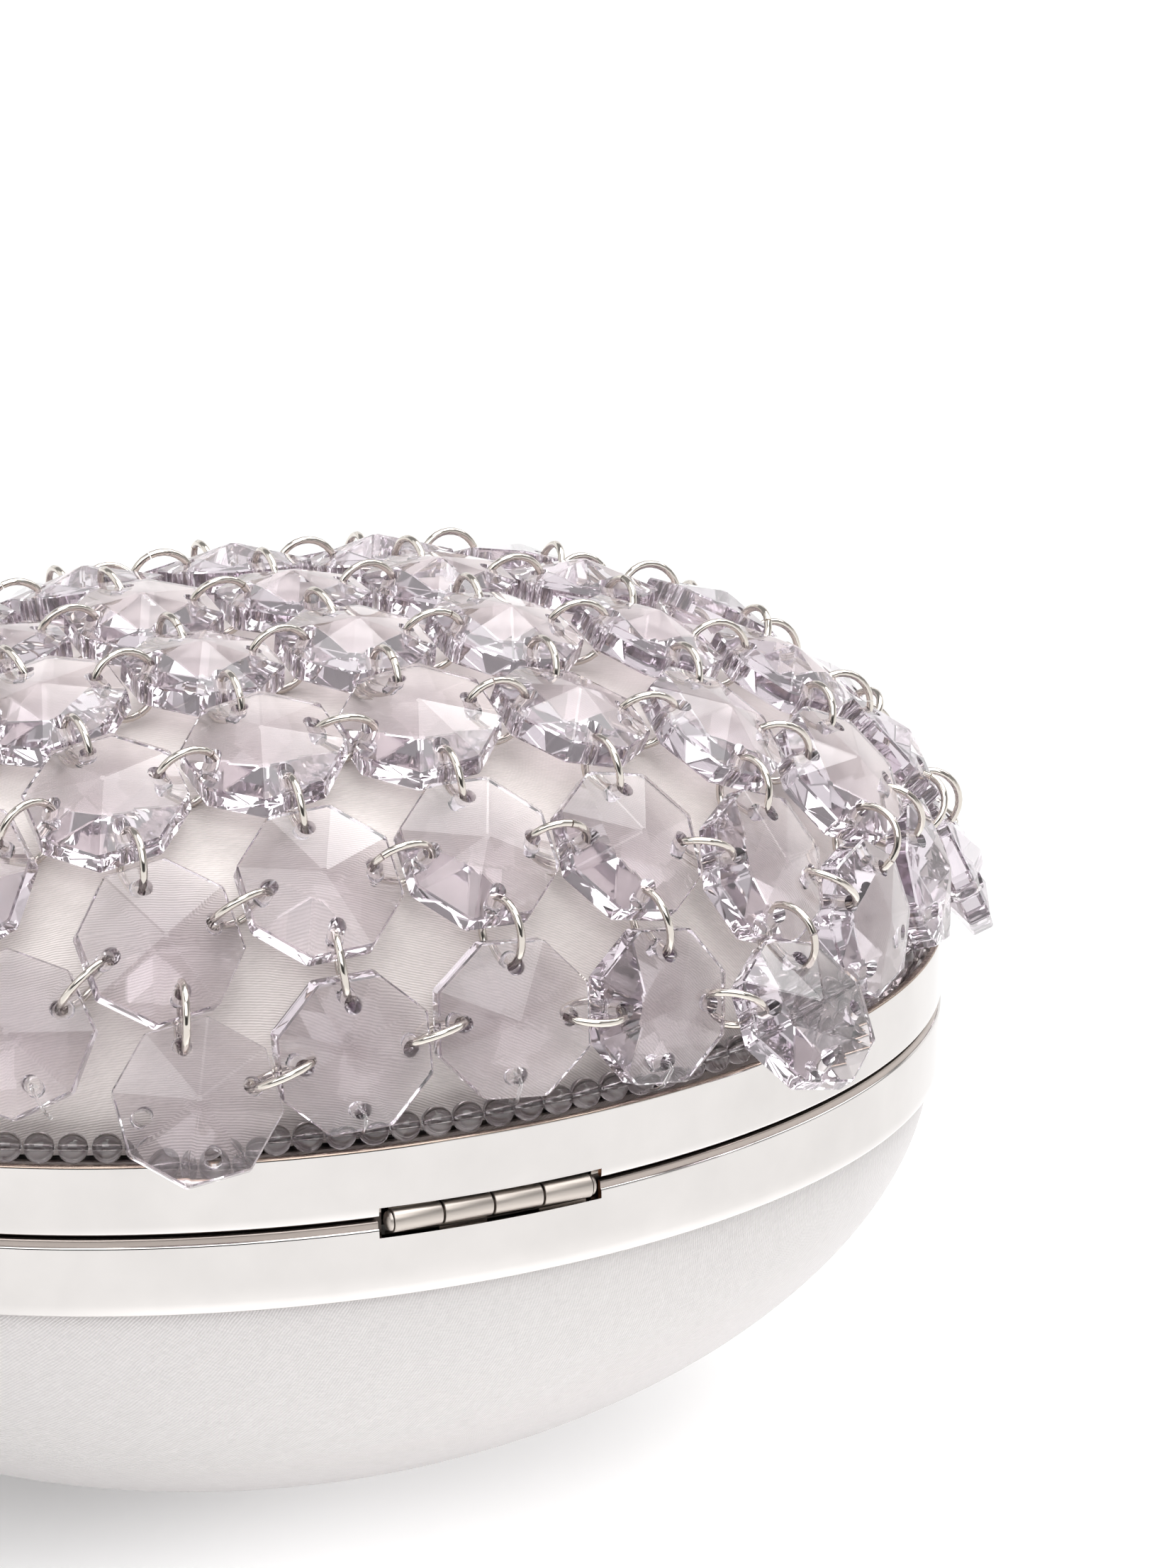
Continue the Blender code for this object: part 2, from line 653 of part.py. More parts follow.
def lay_beside(surface, grid, key, pitch):
    """Finds the place that lies one pitch from its inner neighbours, or None."""
    column, row = key
    side_x = (column > 0) - (column < 0)
    side_y = (row > 0) - (row < 0)
    corner = grid.get((column - side_x, row - side_y))
    if corner is None:
        return None
    if column == 0 or row == 0:
        start = (NET_START_X, NET_START_Y)
        fixed = 1 if row == 0 else 0
        near = corner[0] + pitch * np.array([side_x, side_y, 0.0])
        before = grid.get((column - 2 * side_x, row - 2 * side_y))
        if before is not None:
            near = 2 * corner[0] - before[0] - pitch * np.array([0.0, 0.0, AXIS_FALL_SHARE])

        def misses(p):
            return np.array([np.linalg.norm(p - corner[0]) - pitch, p[fixed] - start[fixed]])

        return surface.solve(misses, near)
    one = grid.get((column - side_x, row))
    other = grid.get((column, row - side_y))
    if one is None or other is None:
        return None
    near = one[0] + other[0] - corner[0] - pitch * np.array([0.0, 0.0, FIELD_FALL_SHARE])

    def gaps(p):
        return np.array([np.linalg.norm(p - one[0]), np.linalg.norm(p - other[0])]) - pitch

    return surface.solve(gaps, near)


def hang_net():
    """Lays the net on the dome like a compass walk: every link has one length.

    A crystal at the edge that would foul the band hangs on shorter links and leans
    out over it. Returns the grid's places, {(column, row): (point, normal)}.
    """
    surface = NetSurface()
    start = np.array([NET_START_X, NET_START_Y, DOME_BASE_Z + DOME_RISE])
    first = surface.place(*surface.solve(lambda p: p[:2] - start[:2], start))
    laid = {(0, 0): first}
    hung = {(0, 0): first}
    steps = range(-NET_REACH, NET_REACH + 1)
    keys = sorted(((x, y) for x in steps for y in steps), key=lambda key: (abs(key[0]) + abs(key[1]), key))
    for key in keys[1:]:
        for pitch, limit in ((NET_PITCH, 0.0), (EDGE_PITCH, EDGE_LEAN_LIMIT)):
            spot = lay_beside(surface, laid, key, pitch)
            if spot is None:
                continue
            place = surface.place(*spot)
            room = min(np.linalg.norm(place[0] - other[0]) for other in laid.values())
            leaned = lean_out(*place, limit)
            if leaned is not None and room > pitch * ROOM_SHARE:
                laid[key] = place
                hung[key] = leaned
                break
    return hung


def crystal_axes(grid, key):
    """Gives a crystal's hole directions and normal from its neighbours."""
    point, normal = grid[key]
    column, row = key

    def pull(step_column, step_row):
        total = np.zeros(3)
        for sign in (1, -1):
            beside = grid.get((column + sign * step_column, row + sign * step_row))
            if beside is not None:
                total += sign * (beside[0] - point)
        return total

    along = pull(1, 0)
    across = pull(0, 1)
    quarter = np.cross(across, normal)
    total = np.zeros(3)
    for arm in (along, quarter):
        flat = arm - normal * np.dot(arm, normal)
        if np.linalg.norm(flat) > 0:
            total += flat / np.linalg.norm(flat)
    total /= np.linalg.norm(total)
    return total, np.cross(normal, total), normal


def add_crystal(bm, point, axes, open_holes):
    """Adds one octagon crystal: girdle, two eight-facet pyramids and its open holes.

    open_holes holds the facets, of 0, 2, 4 and 6, whose hole is left clear. The
    others are filled by the ring that is fused there.
    """
    along, across, normal = (Vector(axis) for axis in axes)
    centre = Vector(point)
    flat = CRYSTAL_ACROSS_FLATS / 2
    corner_radius = flat / math.cos(math.pi / CRYSTAL_FACETS)
    girdle = CRYSTAL_GIRDLE / 2
    half_hole = CRYSTAL_HOLE_WIDTH / 2

    def put(x, y, z):
        return bm.verts.new(centre + along * x + across * y + normal * z)

    hole_rims = []
    girdle_rings = []
    for side in (1, -1):
        apex = put(0, 0, side * CRYSTAL_THICKNESS / 2)
        ring = []
        for facet in range(CRYSTAL_FACETS):
            angle = 2 * math.pi * (facet - 0.5) / CRYSTAL_FACETS
            x = corner_radius * math.cos(angle)
            y = corner_radius * math.sin(angle)
            ring.append(put(x, y, side * girdle))
        girdle_rings.append(ring)
        rims = []
        for facet in range(CRYSTAL_FACETS):
            first = ring[facet]
            second = ring[(facet + 1) % CRYSTAL_FACETS]
            if facet not in open_holes:
                bm.faces.new((first, second, apex))
                continue
            angle = 2 * math.pi * facet / CRYSTAL_FACETS
            rim = []
            for out, aside in ((1, -1), (1, 1), (-1, 1), (-1, -1)):
                radial = CRYSTAL_HOLE_RADIUS + out * half_hole
                sideways = aside * half_hole
                height = girdle + (CRYSTAL_THICKNESS / 2 - girdle) * (1 - radial / flat)
                x = radial * math.cos(angle) - sideways * math.sin(angle)
                y = radial * math.sin(angle) + sideways * math.cos(angle)
                rim.append(put(x, y, side * height))
            bm.faces.new((first, second, rim[1], rim[0]))
            bm.faces.new((second, apex, rim[2], rim[1]))
            bm.faces.new((apex, first, rim[0], rim[3]))
            bm.faces.new((apex, rim[3], rim[2]))
            rims.append(rim)
        hole_rims.append(rims)
    bridge(bm, girdle_rings[0], girdle_rings[1])
    for front, back in zip(*hole_rims):
        bridge(bm, front, back)


def add_jump_ring(bm, one, other, free):
    """Adds a jump ring through the facing holes of two crystals.

    Where free is set, it stands square in the other crystal's open hole.
    """
    point_one, axes_one = one
    point_other, axes_other = other
    gap = point_other - point_one
    holes = []
    for point, axes, way in ((point_one, axes_one, gap), (point_other, axes_other, -gap)):
        arms = [sign * axis for axis in axes[:2] for sign in (1, -1)]
        arm = max(arms, key=lambda a: float(np.dot(a, way)))
        holes.append(point + CRYSTAL_HOLE_RADIUS * arm)
    run = holes[1] - holes[0]
    lift = axes_other[2] if free else axes_one[2] + axes_other[2]
    if free:
        run = run - lift * np.dot(run, lift)
    run /= np.linalg.norm(run)
    lift = lift - run * np.dot(lift, run)
    lift /= np.linalg.norm(lift)
    centre = (holes[0] + holes[1]) / 2
    if free:
        centre = holes[1] - run * RING_RADIUS * math.cos(math.pi / RING_SIDES)
    centre = centre + lift * RING_LIFT
    side = np.cross(run, lift)
    loops = []
    for step in range(RING_SIDES):
        angle = 2 * math.pi * (step + 0.5) / RING_SIDES
        out = run * math.cos(angle) + lift * math.sin(angle)
        loop = []
        for turn in range(RING_WIRE_SIDES):
            wire = 2 * math.pi * turn / RING_WIRE_SIDES
            reach = RING_RADIUS - RING_WIRE_RADIUS * math.cos(wire)
            aside = RING_WIRE_RADIUS * math.sin(wire)
            loop.append(bm.verts.new(centre + out * reach + side * aside))
        loops.append(loop)
    for step, loop in enumerate(loops):
        bridge(bm, loop, loops[(step + 1) % RING_SIDES])


def build_net(lid):
    """Builds the net row by row: each row is fused with the rings that it carries.

    A row's rings join its own crystals, and others stand in its upper holes and
    pass freely through the open holes of the next row.
    """
    grid = hang_net()
    strung = {key: (grid[key][0], crystal_axes(grid, key)) for key in grid}
    rows = sorted({row for _, row in strung})
    rings = 0
    for number, row in enumerate(rows, start=1):
        stones = bmesh.new()
        links = bmesh.new()
        for key in sorted(strung):
            if key[1] != row:
                continue
            point, axes = strung[key]
            add_crystal(stones, point, axes, free_facets(strung, key))
            for beside in ((key[0] + 1, row), (key[0], row + 1)):
                if beside in strung:
                    add_jump_ring(links, strung[key], strung[beside], free=beside[1] != row)
                    rings += 1
        name = f"crystal_row_{number}"
        net_row = finish_object(name, stones, CRYSTAL, parent=lid, smooth_angle=FACET_ANGLE)
        join_by_union(net_row, [finish_object("rings", links, SILVER)])
    print(f"crystals: {len(grid)} in {len(rows)} rows, with {rings} rings")


def free_facets(strung, key):
    """Lists the facets whose hole stays clear: the one below, and the upper edge's."""
    column, row = key
    return {6} if (column, row + 1) in strung else {2, 6}


# Hinge


def knuckle_spans():
    """Lists the start and end of each knuckle along the hinge."""
    start = -HINGE_LENGTH / 2 + PIN_HEAD_LENGTH
    pitch = (HINGE_LENGTH - 2 * PIN_HEAD_LENGTH) / KNUCKLE_COUNT
    spans = []
    for number in range(KNUCKLE_COUNT):
        low = start + pitch * number + KNUCKLE_GAP / 2
        spans.append((low, low + pitch - KNUCKLE_GAP))
    return spans


def build_leaf(name, parity, way, parent=None):
    """Hinge leaf: a strip bent to the oval with its own two knuckles."""
    own = [span for number, span in enumerate(knuckle_spans()) if number % 2 == parity]
    inner = HINGE_LENGTH / 2 - PIN_HEAD_LENGTH
    clear = HINGE_SLOT_HEIGHT / 2
    edge = front_angle(inner, LIP_INSET)
    near_z = PARTING_Z + way * clear
    far_z = near_z + way * LEAF_HEIGHT
    profile = [
        (LIP_INSET, near_z),
        (LIP_INSET + LEAF_THICKNESS, near_z),
        (LIP_INSET + LEAF_THICKNESS, far_z),
        (LIP_INSET, far_z),
    ]
    bm = bmesh.new()
    sweep_oval(bm, profile, part_turn(-math.pi + edge, -edge), closed=False)
    leaf = finish_object(name, bm, NICKEL, parent=parent)
    pieces = []
    for low, high in own:
        web = bmesh.new()
        outer_y = -HALF_WIDTH + LIP_INSET + TOUCH_GAP
        inner_y = outer_y + LEAF_THICKNESS
        z_ends = sorted((PARTING_Z + way * KNUCKLE_RADIUS / 2, near_z + way * TOUCH_GAP))
        add_box(web, (low, outer_y, z_ends[0]), (high, inner_y, z_ends[1]))
        pieces.append(finish_object("web", web, NICKEL))
        tube = bmesh.new()
        add_rod(tube, low, high, KNUCKLE_RADIUS)
        pieces.append(finish_object("knuckle", tube, NICKEL))
    join_by_union(leaf, pieces)
    bore = bmesh.new()
    add_rod(bore, -HINGE_LENGTH, HINGE_LENGTH, KNUCKLE_BORE_RADIUS)
    cut_away(leaf, bore)


def add_rod(bm, low, high, radius):
    """Adds a closed rod along the hinge axis."""
    loops = add_barrel(bm, low, high, [(0.0, radius), (1.0, radius)], BARREL_SEGMENTS)
    bridge(bm, loops[0], loops[1])
    bm.faces.new(loops[0])
    bm.faces.new(reversed(loops[1]))


def build_pin():
    """Hinge pin with a domed head over each end of the barrel."""
    half = HINGE_LENGTH / 2
    stations = []
    for out_share, radius_share in PIN_HEAD_SHARES:
        stations.append((-half + PIN_HEAD_LENGTH * out_share, PIN_HEAD_RADIUS * radius_share))
    stations.append((stations[-1][0], PIN_RADIUS))
    stations += [(-x, radius) for x, radius in reversed(stations)]
    bm = bmesh.new()
    profile = [((x + half) / HINGE_LENGTH, radius) for x, radius in stations]
    loops = add_barrel(bm, -half, half, profile, BARREL_SEGMENTS)
    for one, other in zip(loops, loops[1:]):
        bridge(bm, one, other)
    bm.faces.new(loops[0])
    bm.faces.new(reversed(loops[-1]))
    finish_object("hinge_pin", bm, NICKEL)


# Clasp


def clasp_levels():
    """Gives the y levels of the catch's back and of the bolt's front and back."""
    catch_inner = HALF_WIDTH - LIP_INSET - LIP_THICKNESS
    bolt_outer = catch_inner - TOUCH_GAP - BOLT_ENGAGEMENT / 2
    return catch_inner, bolt_outer, bolt_outer - BOLT_THICKNESS


def build_catch():
    """Catch plate in the closing lip's line, with a window under its top bar."""
    profile = [
        (LIP_INSET, LOWER_TOP_Z - LIP_FOOT_DROP),
        (LIP_INSET, PARTING_Z + CATCH_TOP_RISE),
        (LIP_INSET + LIP_THICKNESS, PARTING_Z + CATCH_TOP_RISE),
        (LIP_INSET + LIP_THICKNESS, LOWER_TOP_Z - LIP_FOOT_DROP),
    ]
    edge = front_angle(CATCH_WIDTH / 2, LIP_INSET)
    bm = bmesh.new()
    sweep_oval(bm, profile, part_turn(edge, math.pi - edge), closed=False)
    catch = finish_object("clasp_catch", bm, NICKEL)
    tooth_top, tooth_bottom = tooth_levels()
    window = bmesh.new()
    half = BOLT_TOOTH_WIDTH / 2 + TOUCH_GAP
    low = (-half, HALF_WIDTH - LIP_INSET - CUT_OVERRUN, tooth_bottom - TOUCH_GAP)
    high = (half, HALF_WIDTH + CUT_OVERRUN, tooth_top + TOUCH_GAP)
    add_box(window, low, high)
    cut_away(catch, window)


def tooth_levels():
    """Gives the bolt tooth's top and bottom, under the catch's top bar."""
    top = PARTING_Z + CATCH_TOP_RISE - CATCH_BAR_HEIGHT - TOUCH_GAP
    return top, top - BOLT_TOOTH_HEIGHT


def build_button(button):
    """Push button: crowned cap through the band, bolt behind the catch and tooth."""
    catch_inner, bolt_outer, bolt_inner = clasp_levels()
    tooth_top, tooth_bottom = tooth_levels()
    half = BUTTON_WIDTH / 2
    rise = BUTTON_HEIGHT / 2
    front = HALF_WIDTH + BUTTON_PROUD
    cap = bmesh.new()
    add_box(cap, (-half, bolt_inner, BUTTON_Z - rise), (half, front, BUTTON_Z + rise))
    outer = [edge for edge in cap.edges if all(v.co.y > HALF_WIDTH for v in edge.verts)]
    bmesh.ops.bevel(cap, geom=outer, offset=BUTTON_CROWN, segments=BUTTON_CROWN_STEPS, affect="EDGES")
    obj = finish_object("clasp_button", cap, SILVER, parent=button)
    half_bolt = BOLT_WIDTH / 2
    bolt = bmesh.new()
    add_box(bolt, (-half_bolt, bolt_inner, tooth_bottom), (half_bolt, bolt_outer, BUTTON_Z))
    plate = finish_object("plate", bolt, SILVER)
    tooth = bmesh.new()
    half_tooth = BOLT_TOOTH_WIDTH / 2
    tip = catch_inner + BOLT_ENGAGEMENT
    add_box(tooth, (-half_tooth, bolt_inner + TOUCH_GAP, tooth_bottom), (half_tooth, tip, tooth_top))
    nose = finish_object("tooth", tooth, SILVER)
    join_by_union(obj, [plate, nose])


def build_bracket(lid):
    """Bracket under the ledge that holds the clasp spring's back end."""
    _, _, bolt_inner = clasp_levels()
    back = bolt_inner - TOUCH_GAP - SPRING_LENGTH - TOUCH_GAP
    top = LEDGE_BOTTOM_Z - TOUCH_GAP
    half = BRACKET_WIDTH / 2
    bm = bmesh.new()
    add_box(bm, (-half, back - BRACKET_THICKNESS, top - BRACKET_HEIGHT), (half, back, top))
    plate = finish_object("clasp_bracket", bm, NICKEL, parent=lid)
    foot = bmesh.new()
    low = (-half, back - BRACKET_THICKNESS / 2, top - BRACKET_THICKNESS)
    add_box(foot, low, (half, back + BRACKET_FOOT_DEPTH - TOUCH_GAP, top))
    join_by_union(plate, [finish_object("foot", foot, NICKEL)])


def build_spring(lid):
    """Coil spring that presses the button outwards."""
    _, _, bolt_inner = clasp_levels()
    front = bolt_inner - TOUCH_GAP - SPRING_WIRE_RADIUS
    run = SPRING_LENGTH - 2 * SPRING_WIRE_RADIUS
    total = SPRING_TURNS * SPRING_POINTS_PER_TURN
    bm = bmesh.new()
    loops = []
    for step in range(total + 1):
        turn = 2 * math.pi * step / SPRING_POINTS_PER_TURN
        out = Vector((math.cos(turn), 0, math.sin(turn)))
        along = Vector((0, -1, 0))
        centre = Vector((0, front - run * step / total, BUTTON_Z)) + out * SPRING_RADIUS
        loop = []
        for side in range(SPRING_WIRE_SIDES):
            wire = 2 * math.pi * side / SPRING_WIRE_SIDES
            spot = centre + (out * math.cos(wire) + along * math.sin(wire)) * SPRING_WIRE_RADIUS
            loop.append(bm.verts.new(spot))
        loops.append(loop)
    for one, other in zip(loops, loops[1:]):
        bridge(bm, one, other)
    bm.faces.new(loops[0])
    bm.faces.new(reversed(loops[-1]))
    finish_object("clasp_spring", bm, STEEL, parent=lid, smooth_angle=ROUND_ANGLE)


def main():
    """Clears the scene and builds every piece."""
    for obj in list(bpy.data.objects):
        bpy.data.objects.remove(obj, do_unlink=True)
    lid = joint_empty("lid_hinge_axis", (0, HINGE_Y, PARTING_Z))
    button = joint_empty("button_slide_axis", (0, HALF_WIDTH, BUTTON_Z))
    build_lower_frame()
    build_upper_frame(lid)
    build_closing_lips()
    build_bowl()
    build_dome(lid)
    build_seed_bead_row(lid)
    build_net(lid)
    build_leaf("hinge_lid_leaf", 0, 1, parent=lid)
    build_leaf("hinge_base_leaf", 1, -1)
    build_pin()
    build_catch()
    build_button(button)
    build_bracket(lid)
    build_spring(lid)


main()
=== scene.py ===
"""Dresses the oval crystal-net clutch bag for its picture.

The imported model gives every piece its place. Lengths are in metres, +X runs along
the oval, +Z is up, the hinge is at -Y and the push clasp at +Y.
"""
import logging
import math
import sys
from collections.abc import Callable, Sequence
from dataclasses import dataclass
from enum import Enum
from typing import ClassVar, NamedTuple

import bmesh
import bpy
import numpy as np
from mathutils import Matrix, Vector


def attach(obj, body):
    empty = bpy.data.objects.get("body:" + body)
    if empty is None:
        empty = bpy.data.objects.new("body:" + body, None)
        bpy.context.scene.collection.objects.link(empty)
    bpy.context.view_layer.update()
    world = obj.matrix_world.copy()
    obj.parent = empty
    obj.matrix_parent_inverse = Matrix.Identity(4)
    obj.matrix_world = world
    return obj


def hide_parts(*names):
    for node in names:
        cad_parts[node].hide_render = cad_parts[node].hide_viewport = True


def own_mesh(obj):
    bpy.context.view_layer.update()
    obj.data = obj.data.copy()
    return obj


LOG = logging.getLogger("clutch_bag")
# Metres within which two corners become one.
WELD_DISTANCE = 1e-6
# Least cosines between a face's normal and an axis that it roughly or squarely faces.
FACES_ROUGHLY = 0.9
FACES_SQUARELY = 0.99

Colour = tuple[float, float, float]
Output = tuple[bpy.types.Node, str | int]


class Body(Enum):
    """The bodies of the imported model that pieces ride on."""

    BASE = "base"
    LID = "lid"
    BUTTON = "button"


class Slot(Enum):
    """The record's material slots."""

    SATIN = "cover_satin"
    BOARD = "shell_board"
    LINING = "lining_satin"
    SILVER = "polished_silver"
    NICKEL = "brushed_nickel"
    STEEL = "spring_steel"
    CRYSTAL = "crystal"
    BEAD = "smoke_bead"


class Station(NamedTuple):
    """One ring of a swept oval: inset from the bands' outer face, level and share."""

    inset: float
    z: float
    share: float = 1.0


@dataclass(frozen=True)
class BagSizes:
    """Sizes that several sub-assemblies share, the same as in the CAD source."""

    frame_length: float = 0.134
    frame_width: float = 0.098
    lower_band_height: float = 0.0067
    upper_band_height: float = 0.0066
    parting_groove: float = 0.0011
    band_wall: float = 0.0008
    ledge_drop: float = 0.00095
    ledge_thickness: float = 0.0008
    ledge_margin: float = 0.0003
    touch_gap: float = 0.0003
    shell_gap: float = 0.0008
    satin_thickness: float = 0.0005
    shell_thickness: float = 0.001
    lining_thickness: float = 0.0005
    bowl_depth: float = 0.0343
    dome_rise: float = 0.03175
    dome_side_power: float = 2.6
    dome_rise_power: float = 2.3
    bead_diameter: float = 0.0029
    bead_gap: float = 0.00035
    hinge_inset: float = 0.0009
    hinge_slot_length: float = 0.0218
    hinge_slot_height: float = 0.0029
    knuckle_radius: float = 0.0011
    sharp_angle: float = 40.0
    edge: float = 0.0002
    fine_edge: float = 0.0001

    @property
    def half_x(self) -> float:
        """Half the frame's length."""
        return self.frame_length / 2

    @property
    def half_y(self) -> float:
        """Half the frame's width."""
        return self.frame_width / 2

    @property
    def lower_top(self) -> float:
        """Top edge of the lower band."""
        return self.bowl_depth + self.lower_band_height

    @property
    def parting(self) -> float:
        """Level of the parting plane and of the hinge axis."""
        return self.lower_top + self.parting_groove / 2

    @property
    def upper_edge(self) -> float:
        """Bottom edge of the upper band."""
        return self.lower_top + self.parting_groove

    @property
    def upper_top(self) -> float:
        """Top edge of the upper band."""
        return self.upper_edge + self.upper_band_height

    @property
    def ledge_top(self) -> float:
        """Top of the ledge that carries beads and dome."""
        return self.upper_top - self.ledge_drop

    @property
    def dome_base(self) -> float:
        """Foot of the satin dome."""
        return self.ledge_top + self.touch_gap

    @property
    def bead_inset(self) -> float:
        """Inset of the seed beads' centres."""
        return self.band_wall + self.bead_gap + self.bead_diameter / 2

    @property
    def dome_inset(self) -> float:
        """Inset of the satin dome's foot."""
        return self.bead_inset + self.bead_diameter / 2 + self.bead_gap

    @property
    def dome_shell_inset(self) -> float:
        """Inset of the hard shell under the satin dome."""
        return self.dome_inset + self.satin_thickness + self.shell_gap

    @property
    def ledge_inset(self) -> float:
        """Inset of the ledge's inner edge."""
        return self.dome_shell_inset + self.shell_thickness + self.ledge_margin

    @property
    def lip_inset(self) -> float:
        """Inset of what stands just inside the bands."""
        return self.band_wall + self.touch_gap

    @property
    def hinge_y(self) -> float:
        """Where the hinge axis lies."""
        return -(self.half_y - self.hinge_inset)

    def oval_point(self, angle: float, inset: float, z: float, share: float = 1.0) -> Vector:
        """Gives a point of an inset oval.

        Args:
            angle: The oval's own angle, from +X.
            inset: Distance in from the bands' outer face.
            z: Level.
            share: Share by which the oval is drawn in.

        Returns:
            The point.
        """
        x = (self.half_x - inset) * share * math.cos(angle)
        y = (self.half_y - inset) * share * math.sin(angle)
        return Vector((x, y, z))


SIZES = BagSizes()


class Bench:
    """The hand tools that every sub-assembly is shaped with."""

    @staticmethod
    def clear() -> None:
        """Leaves edit mode and deselects every object."""
        if bpy.context.mode != "OBJECT":
            bpy.ops.object.mode_set(mode="OBJECT")
        bpy.ops.object.select_all(action="DESELECT")

    @staticmethod
    def choose(obj: bpy.types.Object) -> None:
        """Selects an object alone and makes it active."""
        Bench.clear()
        bpy.context.view_layer.objects.active = obj
        obj.select_set(True)

    @staticmethod
    def take(name: str) -> bpy.types.Object:
        """Names the object that was just added and applies its place.

        Args:
            name: Its name.

        Returns:
            The object.
        """
        obj = bpy.context.object
        obj.name = name
        obj.data.name = name
        bpy.ops.object.transform_apply(location=True, rotation=True, scale=True)
        return obj

    @staticmethod
    def edit(obj: bpy.types.Object, kind: str = "VERT", everything: bool = False) -> None:
        """Opens an object alone in edit mode.

        Args:
            obj: The object.
            kind: The kind of element to select: VERT, EDGE or FACE.
            everything: Whether all of it is selected, or nothing.
        """
        Bench.choose(obj)
        bpy.ops.object.mode_set(mode="EDIT")
        bpy.ops.mesh.select_mode(type=kind)
        bpy.ops.mesh.select_all(action="SELECT" if everything else "DESELECT")

    @staticmethod
    def pick(obj: bpy.types.Object, kind: str, test: Callable[..., bool]) -> None:
        """Selects the elements of a kind that pass a test, in edit mode.

        Args:
            obj: The object in edit mode.
            kind: VERT, EDGE or FACE.
            test: Says of an element whether it is wanted.
        """
        bpy.ops.mesh.select_mode(type=kind)
        bpy.ops.mesh.select_all(action="DESELECT")
        mesh = bmesh.from_edit_mesh(obj.data)
        mesh.normal_update()
        elements = {"VERT": mesh.verts, "EDGE": mesh.edges, "FACE": mesh.faces}[kind]
        for element in elements:
            if test(element):
                element.select_set(True)
        bmesh.update_edit_mesh(obj.data)

    @staticmethod
    def done() -> None:
        """Leaves edit mode."""
        bpy.ops.object.mode_set(mode="OBJECT")

    @staticmethod
    def grow(
        across_x: float, across_y: float, along_z: float = 1.0, centre: Sequence[float] = (0.0, 0.0, 0.0)
    ) -> None:
        """Scales what is selected about a centre."""
        bpy.ops.transform.resize(value=(across_x, across_y, along_z), center_override=tuple(centre))

    @staticmethod
    def pull(offset: Sequence[float]) -> None:
        """Extrudes what is selected by an offset."""
        bpy.ops.mesh.extrude_region_move(TRANSFORM_OT_translate={"value": tuple(offset)})

    @staticmethod
    def outward() -> None:
        """Turns every face of the mesh in edit mode outwards."""
        bpy.ops.mesh.select_all(action="SELECT")
        bpy.ops.mesh.remove_doubles(threshold=WELD_DISTANCE)
        bpy.ops.mesh.normals_make_consistent(inside=False)

    @staticmethod
    def trim(obj: bpy.types.Object, planes: Sequence[tuple[Sequence[float], Sequence[float]]]) -> None:
        """Cuts away what lies behind each plane and closes the cuts.

        Args:
            obj: The object.
            planes: A point and the normal of each plane.
        """
        Bench.edit(obj)
        for spot, normal in planes:
            bpy.ops.mesh.select_all(action="SELECT")
            bpy.ops.mesh.bisect(plane_co=spot, plane_no=normal, use_fill=True, clear_inner=True)
        Bench.outward()
        Bench.done()

    @staticmethod
    def modify(obj: bpy.types.Object, kind: str, **settings: object) -> None:
        """Adds a modifier, sets it and applies it.

        Args:
            obj: The object to work on.
            kind: The modifier's type.
            settings: Its values.
        """
        Bench.choose(obj)
        bpy.ops.object.modifier_add(type=kind)
        modifier = obj.modifiers[-1]
        for setting, value in settings.items():
            setattr(modifier, setting, value)
        bpy.ops.object.modifier_apply(modifier=modifier.name)

    @staticmethod
    def cut(obj: bpy.types.Object, cutter: bpy.types.Object) -> None:
        """Cuts one object out of another and removes the cutter."""
        Bench.modify(obj, "BOOLEAN", operation="DIFFERENCE", solver="EXACT", object=cutter)
        bpy.data.objects.remove(cutter, do_unlink=True)

    @staticmethod
    def smooth(obj: bpy.types.Object, degrees: float) -> None:
        """Shades an object smooth, with the edges above an angle left sharp.

        Args:
            obj: The object.
            degrees: The angle.
        """
        Bench.choose(obj)
        bpy.ops.object.shade_smooth_by_angle(angle=math.radians(degrees))

    @staticmethod
    def join(name: str, parts: Sequence[bpy.types.Object]) -> bpy.types.Object:
        """Joins parts into one object.

        Args:
            name: The object's name.
            parts: The parts, at least one.

        Returns:
            The object.
        """
        Bench.clear()
        for part in parts:
            part.select_set(True)
        bpy.context.view_layer.objects.active = parts[0]
        if len(parts) > 1:
            bpy.ops.object.join()
        parts[0].name = name
        parts[0].data.name = name
        return parts[0]

    @staticmethod
    def copy(model: bpy.types.Object, place: Matrix) -> bpy.types.Object:
        """Copies a model with its own mesh.

        Args:
            model: The model.
            place: Where the copy goes.

        Returns:
            The copy.
        """
        twin = model.copy()
        twin.data = model.data.copy()
        twin.data.transform(place)
        bpy.context.scene.collection.objects.link(twin)
        return twin

    @staticmethod
    def block(name: str, low: Sequence[float], high: Sequence[float]) -> bpy.types.Object:
        """Adds a block, as a cutter or a first shape.

        Args:
            name: Its name.
            low: Its lowest corner.
            high: Its highest corner.

        Returns:
            The block.
        """
        Bench.clear()
        centre = [(a + b) / 2 for a, b in zip(low, high)]
        size = [b - a for a, b in zip(low, high)]
        bpy.ops.mesh.primitive_cube_add(size=1.0, location=centre, scale=size)
        return Bench.take(name)

    @staticmethod
    def soft_block(
        name: str, low: Sequence[float], high: Sequence[float], edge: float, facets: int = 3
    ) -> bpy.types.Object:
        """Makes a block with rounded edges.

        Args:
            name: The block's name.
            low: Its lowest corner.
            high: Its highest corner.
            edge: Radius of its edges.
            facets: Facets across a rounded edge.

        Returns:
            The block.
        """
        piece = Bench.block(name, low, high)
        Bench.edit(piece, "EDGE", everything=True)
        bpy.ops.mesh.bevel(offset=edge, segments=facets, affect="EDGES")
        Bench.done()
        return piece

